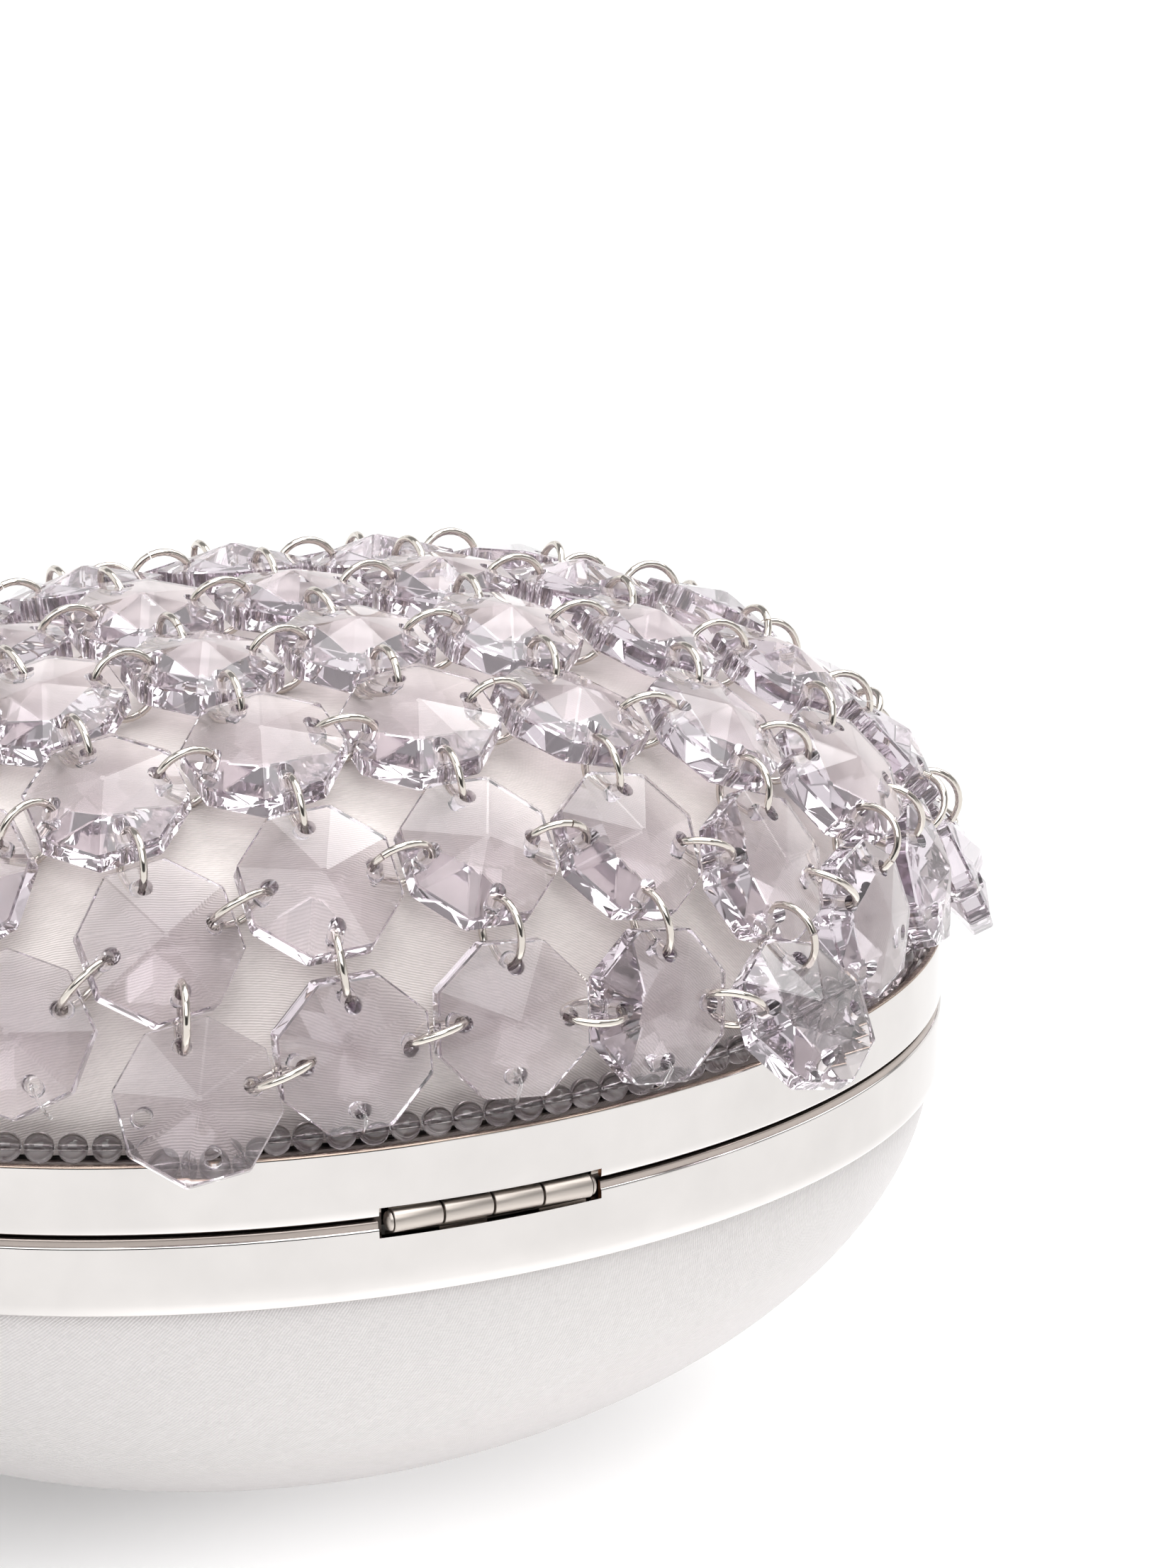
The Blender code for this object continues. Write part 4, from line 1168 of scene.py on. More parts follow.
@dataclass
class Skins:
    """Satin covers, hard shells and linings of both halves."""

    segments: int = 180
    steps: int = 34
    bowl_flat_share: float = 0.2
    bowl_side_power: float = 1.9
    bowl_depth_power: float = 1.9
    satin_tuck: float = 0.0016
    rim_drop: float = 0.00065
    sharp_angle: float = 50.0

    def bowl(self, inset: float, rim: float, depth: float) -> list[Station]:
        """Lists the rings of the bowl, from its rim down to its flat.

        Args:
            inset: Inset of the skin.
            rim: Level of its rim.
            depth: Depth under the lower band.

        Returns:
            The rings.
        """
        flat = math.asin(self.bowl_flat_share ** (self.bowl_side_power / 2))
        full = depth / math.cos(flat) ** (2 / self.bowl_depth_power)
        rings = [Station(inset, rim)]
        for step in range(self.steps + 1):
            turn = math.pi / 2 + (flat - math.pi / 2) * step / self.steps
            share = math.sin(turn) ** (2 / self.bowl_side_power)
            fall = full * max(math.cos(turn), 0.0) ** (2 / self.bowl_depth_power)
            rings.append(Station(inset, SIZES.bowl_depth - fall, share))
        rings.append(Station(inset, rings[-1].z, rings[-1].share / 2))
        rings.append(Station(inset, rings[-1].z, 0.0))
        return rings

    def dome(self, inset: float, top: float) -> list[Station]:
        """Lists the rings of the dome, from its foot up to its pole.

        Args:
            inset: Inset of the skin's foot.
            top: Level of its pole.

        Returns:
            The rings.
        """
        rings = []
        for step in range(self.steps):
            turn = math.pi / 2 * (1 - step / self.steps)
            share = math.sin(turn) ** (2 / SIZES.dome_side_power)
            rise = (top - SIZES.dome_base) * max(math.cos(turn), 0.0) ** (2 / SIZES.dome_rise_power)
            rings.append(Station(inset, SIZES.dome_base + rise, share))
        rings.append(Station(inset, top, 0.0))
        return rings

    def lay_cloth(self, skin: bpy.types.Object, rings: Sequence[Station]) -> tuple[float, float, float]:
        """Unrolls the skin about its pole into a UV map in metres.

        Args:
            skin: The single skin.
            rings: Its rings.

        Returns:
            Width, length and area of the flat cloth.
        """
        inset = rings[0].inset
        half_x = SIZES.half_x - inset
        half_y = SIZES.half_y - inset
        half = (half_x + half_y) / 2
        pole = rings[-1].z
        order = list(reversed(rings))
        keys = [ring.share + abs(ring.z - pole) / SIZES.dome_rise for ring in order]
        runs = {half: [0.0], half_x: [0.0], half_y: [0.0]}
        for reach, run in runs.items():
            for before, after in zip(order, order[1:]):
                run.append(run[-1] + math.hypot((after.share - before.share) * reach, after.z - before.z))
        layer = skin.data.uv_layers.new(name="cloth")
        for loop in skin.data.loops:
            point = skin.data.vertices[loop.vertex_index].co
            share = math.hypot(point.x / half_x, point.y / half_y)
            heading = math.atan2(point.y / half_y, point.x / half_x)
            reach = float(np.interp(share + abs(point.z - pole) / SIZES.dome_rise, keys, runs[half]))
            layer.data[loop.index].uv = (reach * math.cos(heading), reach * math.sin(heading))
        area = sum(face.area for face in skin.data.polygons)
        return 2 * runs[half_x][-1], 2 * runs[half_y][-1], area

    def build_skin(
        self, node: str, rings: Sequence[Station], wall: float, finish: Finish, body: Body
    ) -> None:
        """Builds one skin with its wall.

        Args:
            node: The CAD node that it stands for.
            rings: Its outer rings.
            wall: Its thickness.
            finish: Its finish.
            body: The body that it rides on.
        """
        skin = Bench.sweep_oval(f"{node}_skin", rings, self.segments)
        middle = skin.data.polygons[0]
        outwards = middle.normal.dot(Vector((middle.center.x, middle.center.y, 0.0)))
        if outwards < 0:
            Bench.edit(skin, everything=True)
            bpy.ops.mesh.flip_normals()
            Bench.done()
        width, length, area = self.lay_cloth(skin, rings)
        Bench.modify(skin, "SOLIDIFY", thickness=wall, offset=-1.0, use_even_offset=True)
        Bench.smooth(skin, self.sharp_angle)
        finish_piece(skin, finish, body, [node])
        isinstance(finish, Satin)

    def build(self) -> None:
        """Builds the six skins, shells first."""
        thin = SIZES.satin_thickness
        hard = SIZES.shell_thickness
        rim = SIZES.lower_top - self.rim_drop
        shell_inset = SIZES.lip_inset + thin + SIZES.shell_gap
        shell_depth = SIZES.bowl_depth - thin - SIZES.shell_gap
        lining_inset = shell_inset + hard + SIZES.touch_gap
        lining_depth = shell_depth - hard - SIZES.touch_gap
        shell = self.bowl(shell_inset, rim, shell_depth)
        self.build_skin("lower_shell", shell, hard, SHELL_BOARD, Body.BASE)
        cover = self.bowl(SIZES.lip_inset, SIZES.bowl_depth + self.satin_tuck, SIZES.bowl_depth)
        self.build_skin("lower_satin_cover", cover, thin, BOWL_SATIN_WITH_SHADE, Body.BASE)
        lining = self.bowl(lining_inset, rim, lining_depth)
        self.build_skin("lower_lining", lining, SIZES.lining_thickness, LINING_SATIN, Body.BASE)
        top = SIZES.dome_base + SIZES.dome_rise
        shell_top = top - thin - SIZES.shell_gap
        more = SIZES.ledge_margin + SIZES.touch_gap
        shell = self.dome(SIZES.dome_shell_inset, shell_top)
        self.build_skin("upper_shell", shell, hard, SHELL_BOARD, Body.LID)
        self.build_skin("upper_satin_cover", self.dome(SIZES.dome_inset, top), thin, DOME_SATIN, Body.LID)
        lining = self.dome(SIZES.dome_shell_inset + hard + more, shell_top - hard - more)
        self.build_skin("upper_lining", lining, SIZES.lining_thickness, LINING_SATIN, Body.LID)


@dataclass
class SeedBeads:
    """One strand of round smoke glass beads inside the upper band's edge."""

    hole_radius: float = 0.00022
    pole_share: float = 0.99
    uneven: float = 0.05
    thread_radius: float = 0.00012
    sides: int = 20
    rings: int = 12
    room_share: float = 1.02
    fine_steps: int = 3600
    heading_steps: int = 5
    roll: float = 0.5
    thread_segments: int = 140
    seed: int = 7
    bead_sharp: float = 50.0
    thread_sharp: float = 100.0

    @property
    def level(self) -> float:
        """Level of the beads' centres."""
        return SIZES.ledge_top + SIZES.touch_gap + SIZES.bead_diameter / 2

    def model(self) -> bpy.types.Object:
        """Makes one bead with its hole along X, round the origin.

        Returns:
            The bead.
        """
        radius = SIZES.bead_diameter / 2
        Bench.clear()
        bpy.ops.mesh.primitive_uv_sphere_add(
            segments=self.sides, ring_count=self.rings, radius=radius, rotation=(0.0, math.pi / 2, 0.0)
        )
        bead = Bench.take("bead_model")
        Bench.edit(bead)
        Bench.pick(bead, "VERT", lambda vert: abs(vert.co.x) > radius * self.pole_share)
        bpy.ops.mesh.delete(type="VERT")
        Bench.pick(bead, "EDGE", lambda edge: edge.is_boundary)
        shrink = self.hole_radius / (radius * math.sin(math.pi / self.rings))
        Bench.grow(1.0, shrink, shrink)
        bpy.ops.mesh.bridge_edge_loops()
        Bench.outward()
        Bench.done()
        Bench.smooth(bead, self.bead_sharp)
        return bead

    def places(self) -> list[tuple[Vector, Vector]]:
        """Lists the beads' places, evenly spaced along the strand.

        Returns:
            Centre and heading of each bead.
        """
        last = self.fine_steps
        fine = [SIZES.oval_point(2 * math.pi * step / last, SIZES.bead_inset, self.level) for step in range(last + 1)]
        run = np.concatenate([[0.0], np.cumsum([(b - a).length for a, b in zip(fine, fine[1:])])])
        count = int(run[-1] / (SIZES.bead_diameter * self.room_share))
        spots = []
        for number in range(count):
            at = int(np.searchsorted(run, run[-1] * number / count))
            ahead = fine[min(at + self.heading_steps, last)]
            behind = fine[max(at - self.heading_steps, 0)]
            spots.append((fine[at], (ahead - behind).normalized()))
        return spots

    def build(self) -> None:
        """Strings the beads and their thread."""
        model = self.model()
        random = np.random.default_rng(self.seed)
        beads = []
        for spot, heading in self.places():
            up = Vector((0.0, 0.0, 1.0))
            turn = Matrix((heading, up.cross(heading), up)).transposed().to_4x4()
            size = 1 - self.uneven * float(random.random())
            wide = 1 - self.uneven * float(random.random())
            roll = Matrix.Rotation(float(random.random()) * self.roll, 4, "X")
            shape = Matrix.Diagonal((wide, size, size, 1.0))
            beads.append(Bench.copy(model, Matrix.Translation(spot) @ turn @ roll @ shape))
        bpy.data.objects.remove(model, do_unlink=True)
        strand = Bench.join("seed_beads", beads)
        finish_piece(strand, SMOKE_GLASS, Body.LID, ["seed_bead_row"])
        half = self.thread_radius
        sides = ((-half, 0.0), (0.0, half), (half, 0.0), (0.0, -half))
        stations = [Station(SIZES.bead_inset + inset, self.level + rise) for inset, rise in sides]
        thread = Bench.sweep_oval("bead_thread", stations, self.thread_segments, closed=True)
        Bench.smooth(thread, self.thread_sharp)
        finish_piece(thread, NYLON, Body.LID, ["seed_bead_row"])


class Stone(NamedTuple):
    """A crystal's centre and its three directions: along a row, across it, outwards."""

    centre: np.ndarray
    along: np.ndarray
    across: np.ndarray
    normal: np.ndarray

    def turned(self, move: Matrix, centre: np.ndarray) -> "Stone":
        """Turns the crystal's directions and gives it a centre.

        Args:
            move: The turn.
            centre: The centre.

        Returns:
            The turned crystal.
        """
        sides = [np.array(move @ Vector(side)) for side in (self.along, self.across, self.normal)]
        return Stone(centre, *sides)


def unit(vector: np.ndarray) -> np.ndarray:
    """Gives a vector's direction, one long."""
    return vector / np.linalg.norm(vector)


Key = tuple[int, int]
Place = tuple[np.ndarray, np.ndarray]
Grid = dict[Key, Place]


@dataclass
class NetLayout:
    """Places of the crystals: every link between two neighbours has one length."""

    crystal_width: float = 0.014
    crystal_thickness: float = 0.0066
    facets: int = 8
    girdle: float = 0.002
    pitch: float = 0.0152
    start: tuple[float, float] = (0.0027, 0.0034)
    foot_gap: float = 0.0003
    edge_pitch: float = 0.0145
    edge_overhang: float = 0.0036
    edge_lean: float = 22.0
    lean_steps: int = 44
    room_share: float = 0.97
    probe_steps: int = 8
    reach: int = 8
    rounds: int = 60
    tolerance: float = 1e-8
    nudge: float = 1e-6
    least_slope: float = 1e-9
    largest_turn: float = 0.15
    axis_fall: float = 0.2
    field_fall: float = 0.1

    @property
    def half_x(self) -> float:
        """Half the dome's length."""
        return SIZES.half_x - SIZES.dome_inset

    @property
    def half_y(self) -> float:
        """Half the dome's width."""
        return SIZES.half_y - SIZES.dome_inset

    @property
    def stand_off(self) -> float:
        """Distance of the crystals' centres from the satin."""
        return self.crystal_thickness / 2 + SIZES.touch_gap

    def place(self, turn: float, heading: float) -> Place:
        """Gives a point of the net's surface.

        Args:
            turn: Turn from the dome's pole.
            heading: Heading round it.

        Returns:
            The point and the outward normal.
        """
        share = max(math.sin(turn), 0.0) ** (2 / SIZES.dome_side_power)
        rise = max(math.cos(turn), 0.0) ** (2 / SIZES.dome_rise_power)
        x = self.half_x * share * math.cos(heading)
        y = self.half_y * share * math.sin(heading)
        lean = SIZES.dome_side_power * share ** (SIZES.dome_side_power - 2)
        slope = SIZES.dome_rise_power * rise ** (SIZES.dome_rise_power - 1) / SIZES.dome_rise
        normal = unit(np.array([lean * x / self.half_x**2, lean * y / self.half_y**2, slope]))
        return np.array([x, y, SIZES.dome_base + SIZES.dome_rise * rise]) + self.stand_off * normal, normal

    def guess(self, point: np.ndarray) -> np.ndarray:
        """Finds a spot of the net's surface near a point.

        Args:
            point: The point.

        Returns:
            Turn and heading.
        """
        share = math.hypot(point[0] / (self.half_x + self.stand_off), point[1] / (self.half_y + self.stand_off))
        rise = max((point[2] - SIZES.dome_base) / (SIZES.dome_rise + self.stand_off), 0.0)
        turn = math.atan2(share ** (SIZES.dome_side_power / 2), rise ** (SIZES.dome_rise_power / 2))
        return np.array([turn, math.atan2(point[1] / self.half_y, point[0] / self.half_x)])

    def solve(self, misses: Callable[[np.ndarray], np.ndarray], near: np.ndarray) -> np.ndarray | None:
        """Finds the spot where two distances are met.

        Args:
            misses: How far a point is from meeting them.
            near: A point to start from.

        Returns:
            Turn and heading, or None.
        """
        spot = self.guess(near)
        for _ in range(self.rounds):
            miss = misses(self.place(*spot)[0])
            if np.abs(miss).max() < self.pitch * self.tolerance:
                return spot
            slope = np.zeros((2, 2))
            for axis in range(2):
                moved = spot.copy()
                moved[axis] += self.nudge
                slope[:, axis] = (misses(self.place(*moved)[0]) - miss) / self.nudge
            if abs(np.linalg.det(slope)) < self.pitch**2 * self.least_slope:
                return None
            spot = spot - np.clip(np.linalg.solve(slope, miss), -self.largest_turn, self.largest_turn)
            if not 0 < spot[0] < math.pi / 2:
                return None
        return None

    def lowest_reach(self, normal: np.ndarray) -> float:
        """Says how far an upright crystal reaches below its centre."""
        upright = math.sqrt(max(1 - normal[2] ** 2, 0.0))
        return self.crystal_width / 2 * upright + self.girdle / 2 * abs(normal[2])

    def off_band(self, point: np.ndarray) -> float:
        """Says how far a point lies outside the bands' outer face.

        Args:
            point: The point.

        Returns:
            The distance, below 0 inside.
        """
        share_x = point[0] / SIZES.half_x
        share_y = point[1] / SIZES.half_y
        share = math.hypot(share_x, share_y)
        return (share - 1) * share / math.hypot(share_x / SIZES.half_x, share_y / SIZES.half_y)

    def back_points(
        self, point: np.ndarray, level: np.ndarray, rise: np.ndarray, normal: np.ndarray
    ) -> list[np.ndarray]:
        """Lists points on the lower half of a crystal's back.

        Args:
            point: Its centre.
            level: Its level direction.
            rise: Its direction up along its face.
            normal: Its direction outwards.

        Returns:
            The points, from its tip to its rim.
        """
        flat = self.crystal_width / 2
        girdle = self.girdle / 2
        points = []
        for half_facet in range(-3, 4):
            angle = math.pi * half_facet / self.facets
            reach = flat if half_facet % 2 == 0 else flat / math.cos(math.pi / self.facets)
            way = level * math.sin(angle) - rise * math.cos(angle)
            for step in range(1, self.probe_steps + 1):
                share = step / self.probe_steps
                depth = girdle + (self.crystal_thickness / 2 - girdle) * (1 - share)
                points.append(point + way * reach * share - normal * depth)
        return points

    def lean_out(self, point: np.ndarray, normal: np.ndarray, limit: float) -> Place | None:
        """Leans a low crystal about its upper edge until its back clears the band.

        Args:
            point: Its centre.
            normal: Its direction outwards.
            limit: The most that it may lean, in degrees.

        Returns:
            Its new centre and direction, or None where the limit isn't enough.
        """
        if point[2] - self.lowest_reach(normal) >= SIZES.upper_top + self.foot_gap:
            return point, normal
        level = unit(np.array([-normal[1], normal[0], 0.0]))
        rise = np.cross(normal, level)
        for step in range(1, self.lean_steps + 1):
            turn = math.radians(limit) * step / self.lean_steps
            leaned_rise = rise * math.cos(turn) - normal * math.sin(turn)
            leaned = normal * math.cos(turn) + rise * math.sin(turn)
            centre = point + (rise - leaned_rise) * self.crystal_width / 2
            probes = self.back_points(centre, level, leaned_rise, leaned)
            low = [probe for probe in probes if probe[2] < SIZES.upper_top + SIZES.touch_gap]
            if all(self.off_band(probe) >= SIZES.touch_gap for probe in low):
                held = centre[2] - self.lowest_reach(leaned) >= SIZES.upper_top - self.edge_overhang
                return (centre, leaned) if held else None
        return None

    def lay_beside(self, grid: Grid, key: Key, pitch: float) -> np.ndarray | None:
        """Finds the spot that lies one pitch from a crystal's inner neighbours.

        Args:
            grid: The crystals laid so far.
            key: Column and row of the new one.
            pitch: Length of its links.

        Returns:
            Turn and heading, or None.
        """
        column, row = key
        side_x = (column > 0) - (column < 0)
        side_y = (row > 0) - (row < 0)
        corner = grid.get((column - side_x, row - side_y))
        if corner is None:
            return None
        if column == 0 or row == 0:
            fixed = 1 if row == 0 else 0
            near = corner[0] + pitch * np.array([side_x, side_y, 0.0])
            before = grid.get((column - 2 * side_x, row - 2 * side_y))
            if before is not None:
                near = 2 * corner[0] - before[0] - pitch * np.array([0.0, 0.0, self.axis_fall])

            def off_axis(point: np.ndarray) -> np.ndarray:
                """Says how far a point is off the link's length and off the axis."""
                return np.array([np.linalg.norm(point - corner[0]) - pitch, point[fixed] - self.start[fixed]])

            return self.solve(off_axis, near)
        one = grid.get((column - side_x, row))
        other = grid.get((column, row - side_y))
        if one is None or other is None:
            return None
        near = one[0] + other[0] - corner[0] - pitch * np.array([0.0, 0.0, self.field_fall])

        def off_links(point: np.ndarray) -> np.ndarray:
            """Says how far a point is off the lengths of its two links."""
            return np.array([np.linalg.norm(point - one[0]), np.linalg.norm(point - other[0])]) - pitch

        return self.solve(off_links, near)

    def hang(self) -> dict[Key, Stone]:
        """Lays the whole net outwards from its start.

        Returns:
            The crystals by column and row.
        """
        start = np.array([*self.start, SIZES.dome_base + SIZES.dome_rise])
        first = self.place(*self.solve(lambda point: point[:2] - start[:2], start))
        laid: Grid = {(0, 0): first}
        hung: Grid = {(0, 0): first}
        steps = range(-self.reach, self.reach + 1)
        keys = sorted(((x, y) for x in steps for y in steps), key=lambda key: (abs(key[0]) + abs(key[1]), key))
        for key in keys[1:]:
            for pitch, limit in ((self.pitch, 0.0), (self.edge_pitch, self.edge_lean)):
                spot = self.lay_beside(laid, key, pitch)
                if spot is None:
                    continue
                place = self.place(*spot)
                room = min(np.linalg.norm(place[0] - other[0]) for other in laid.values())
                leaned = self.lean_out(*place, limit)
                if leaned is not None and room > pitch * self.room_share:
                    laid[key] = place
                    hung[key] = leaned
                    break
        return {key: self.directions(hung, key) for key in sorted(hung)}

    def directions(self, grid: Grid, key: Key) -> Stone:
        """Turns a crystal's holes towards its neighbours.

        Args:
            grid: The places of the net.
            key: The crystal's column and row.

        Returns:
            The crystal.
        """
        point, normal = grid[key]

        def towards(step_column: int, step_row: int) -> np.ndarray:
            """Adds up the ways to the two neighbours of one direction."""
            total = np.zeros(3)
            for sign in (1, -1):
                beside = grid.get((key[0] + sign * step_column, key[1] + sign * step_row))
                if beside is not None:
                    total += sign * (beside[0] - point)
            return total

        total = np.zeros(3)
        for arm in (towards(1, 0), np.cross(towards(0, 1), normal)):
            flat = arm - normal * np.dot(arm, normal)
            if np.linalg.norm(flat) > 0:
                total += unit(flat)
        total = unit(total)
        return Stone(point, total, np.cross(normal, total), normal)


@dataclass
class CrystalNet:
    """Octagon crystals of four holes, joined by upright jump rings."""

    layout: NetLayout
    seed: int = 11
    hole_radius: float = 0.00082
    hole_reach: float = 0.0049
    edge: float = 0.00016
    ridge: float = 0.00011
    girdle: float = 0.0022
    crown_rise: float = 0.0005
    ring_radius: float = 0.003175
    wire_radius: float = 0.00037
    ring_play: float = 0.00045
    ring_lean: float = 0.24
    stone_lean: float = 0.19
    stone_turn: float = 0.08
    edge_clear: float = 0.0012
    edge_hang: float = 0.0004
    end_share: float = 0.7
    swing_limit: int = 15
    tied: tuple[Key, ...] = ((-1, -4), (0, -4), (1, -4), (-3, -3))
    thread_radius: float = 0.00017
    drill_sides: int = 14
    drill_depth: float = 0.01
    bore_slope: float = 0.3
    wire_sides: int = 8
    ring_steps: int = 28
    ring_sweep: float = 357.5
    ring_sharp: float = 60.0
    tie_profile: tuple[tuple[float, float], ...] = (
        (-0.0049, -0.0016), (-0.0049, 0.0004), (-0.0050, 0.0021), (-0.0056, 0.0024), (-0.0064, 0.0018),
        (-0.0072, 0.0011), (-0.0076, 0.0002), (-0.0078, -0.0010), (-0.0079, -0.0022),
    )

    def crystal(self) -> bpy.types.Object:
        """Cuts one crystal: girdle, two eight-facet points, edge facets and holes.

        Returns:
            The crystal, centred on the origin with its face to +Z.
        """
        flat = self.layout.crystal_width / 2
        girdle = self.girdle
        half_facet = math.pi / self.layout.facets
        Bench.clear()
        bpy.ops.mesh.primitive_cylinder_add(
            vertices=self.layout.facets,
            radius=flat / math.cos(half_facet),
            depth=girdle,
            rotation=(0.0, 0.0, half_facet),
        )
        stone = Bench.take("crystal_model")
        Bench.edit(stone)
        Bench.pick(stone, "FACE", lambda face: abs(face.normal.z) > FACES_ROUGHLY)
        bpy.ops.mesh.poke(offset=(self.layout.crystal_thickness - girdle) / 2)
        Bench.pick(stone, "VERT", lambda vert: math.hypot(vert.co.x, vert.co.y) < self.edge and vert.co.z > 0)
        Bench.pull((0.0, 0.0, self.crown_rise))
        Bench.pick(stone, "EDGE", lambda edge: all(abs(vert.co.z) < girdle for vert in edge.verts))
        bpy.ops.mesh.bevel(offset=self.edge, segments=1, affect="EDGES")
        Bench.pick(stone, "EDGE", lambda edge: any(math.hypot(vert.co.x, vert.co.y) < self.edge for vert in edge.verts))
        bpy.ops.mesh.bevel(offset=self.ridge, segments=1, affect="EDGES")
        Bench.outward()
        Bench.done()
        drills = []
        for quarter in range(4):
            angle = quarter * math.pi / 2
            spot = (self.hole_reach * math.cos(angle), self.hole_reach * math.sin(angle), 0.0)
            Bench.clear()
            bpy.ops.mesh.primitive_cylinder_add(
                vertices=self.drill_sides, radius=self.hole_radius, depth=self.drill_depth, location=spot
            )
            drills.append(Bench.take("drill"))
        Bench.cut(stone, Bench.join("drills", drills))
        for face in stone.data.polygons:
            angle = round(math.atan2(face.center.y, face.center.x) / (math.pi / 2)) * math.pi / 2
            aside = math.hypot(
                face.center.x - self.hole_reach * math.cos(angle), face.center.y - self.hole_reach * math.sin(angle)
            )
            face.use_smooth = aside < self.hole_radius and abs(face.normal.z) < self.bore_slope
        return stone

    def ring(self) -> bpy.types.Object:
        """Bends one jump ring round Z, with its fine split at +X.

        Returns:
            The ring.
        """
        Bench.clear()
        bpy.ops.mesh.primitive_circle_add(
            vertices=self.wire_sides,
            radius=self.wire_radius,
            fill_type="NGON",
            location=(self.ring_radius, 0.0, 0.0),
            rotation=(math.pi / 2, 0.0, 0.0),
        )
        ring = Bench.take("ring_model")
        Bench.edit(ring, everything=True)
        bpy.ops.mesh.spin(
            steps=self.ring_steps, angle=math.radians(self.ring_sweep), center=(0.0, 0.0, 0.0), axis=(0.0, 0.0, 1.0)
        )
        Bench.outward()
        Bench.done()
        Bench.smooth(ring, self.ring_sharp)
        return ring

    def ring_place(self, one: Stone, other: Stone) -> tuple[Vector, Vector, Vector]:
        """Finds where a ring joins two crystals.

        Args:
            one: The first crystal.
            other: The second.

        Returns:
            The ring's centre, its run from hole to hole, and its lift off the dome.
        """
        gap = other.centre - one.centre
        holes = []
        for stone, way in ((one, gap), (other, -gap)):
            arms = [sign * axis for axis in (stone.along, stone.across) for sign in (1, -1)]
            arm = max(arms, key=lambda a: float(np.dot(a, way)))
            holes.append(stone.centre + self.hole_reach * arm)
        run = unit(holes[1] - holes[0])
        lift = one.normal + other.normal
        lift = unit(lift - run * np.dot(lift, run))
        half_span = float(np.dot(holes[1] - holes[0], run)) / 2 + self.ring_play
        rise = math.sqrt(max(self.ring_radius**2 - half_span**2, 0.0))
        return Vector((holes[0] + holes[1]) / 2 + lift * rise), Vector(run), Vector(lift)

    def unsettle(self, key: Key, stones: dict[Key, Stone], random: np.random.Generator) -> Stone:
        """Leans and turns a crystal a little in its rings, as a loose net lies.

        Args:
            key: The crystal's column and row.
            stones: The whole net.
            random: The source of its lean.

        Returns:
            The crystal in its new stand.
        """
        stone = stones[key]
        heading = 2 * math.pi * float(random.random())
        lean = self.stone_lean * float(random.random())
        turn = self.stone_turn * (2 * float(random.random()) - 1)
        if self.foot(stone.centre, stone.normal) < SIZES.upper_top + self.edge_clear:
            apart = [float(np.linalg.norm(stone.centre - other.centre)) for one, other in stones.items() if one != key]
            return self.swing_out(stone, min(apart) - self.layout.crystal_width - SIZES.touch_gap)
        axis = Vector(stone.along * math.cos(heading) + stone.across * math.sin(heading))
        move = Matrix.Rotation(lean, 3, axis) @ Matrix.Rotation(turn, 3, Vector(stone.normal))
        return stone.turned(move, stone.centre)

    def foot(self, centre: np.ndarray, normal: np.ndarray) -> float:
        """Gives the level of a crystal's lowest point."""
        return float(centre[2]) - self.layout.lowest_reach(normal)

    def swing_out(self, stone: Stone, room: float) -> Stone:
        """Pulls a crystal at the edge up and swings it out about its upper rim.

        Args:
            stone: The crystal.
            room: How far it can move up.

        Returns:
            The crystal in its new stand.
        """
        level = Vector((-stone.normal[1], stone.normal[0], 0.0)).normalized()
        rise = Vector(stone.normal).cross(level)
        if abs(stone.normal[0]) > self.end_share:
            return stone
        stone = Stone(stone.centre + np.array(rise) * room, stone.along, stone.across, stone.normal)
        pivot = Vector(stone.centre) + rise * self.layout.crystal_width / 2
        turned = stone
        for degrees in range(self.swing_limit + 1):
            move = Matrix.Rotation(-math.radians(degrees), 3, level)
            turned = stone.turned(move, np.array(pivot + move @ (Vector(stone.centre) - pivot)))
            if self.foot(turned.centre, turned.normal) > SIZES.upper_top - self.edge_hang:
                break
        return turned

    def tie(self, name: str, stone: Stone) -> None:
        """Ties a crystal's lowest hole down with clear nylon thread.

        Args:
            name: The tie's name.
            stone: The crystal.
        """
        path = [stone.centre + stone.across * down + stone.normal * out for down, out in self.tie_profile]
        thread = Bench.tube(name, path, self.thread_radius)
        finish_piece(thread, NYLON, Body.LID, [])

    def lay_link(
        self, ring: bpy.types.Object, one: Stone, other: Stone, random: np.random.Generator
    ) -> bpy.types.Object:
        """Hangs a copy of the ring between two crystals.

        Args:
            ring: The ring to copy.
            one: The first crystal.
            other: The second.
            random: The source of its lean and of where its split lies.

        Returns:
            The copy.
        """
        centre, run, lift = self.ring_place(one, other)
        stand = Matrix((run, lift, run.cross(lift))).transposed().to_4x4()
        lean = Matrix.Rotation((float(random.random()) - 0.5) * 2 * self.ring_lean, 4, "X")
        split = Matrix.Rotation(float(random.random()) * 2 * math.pi, 4, "Z")
        return Bench.copy(ring, Matrix.Translation(centre) @ stand @ lean @ split)

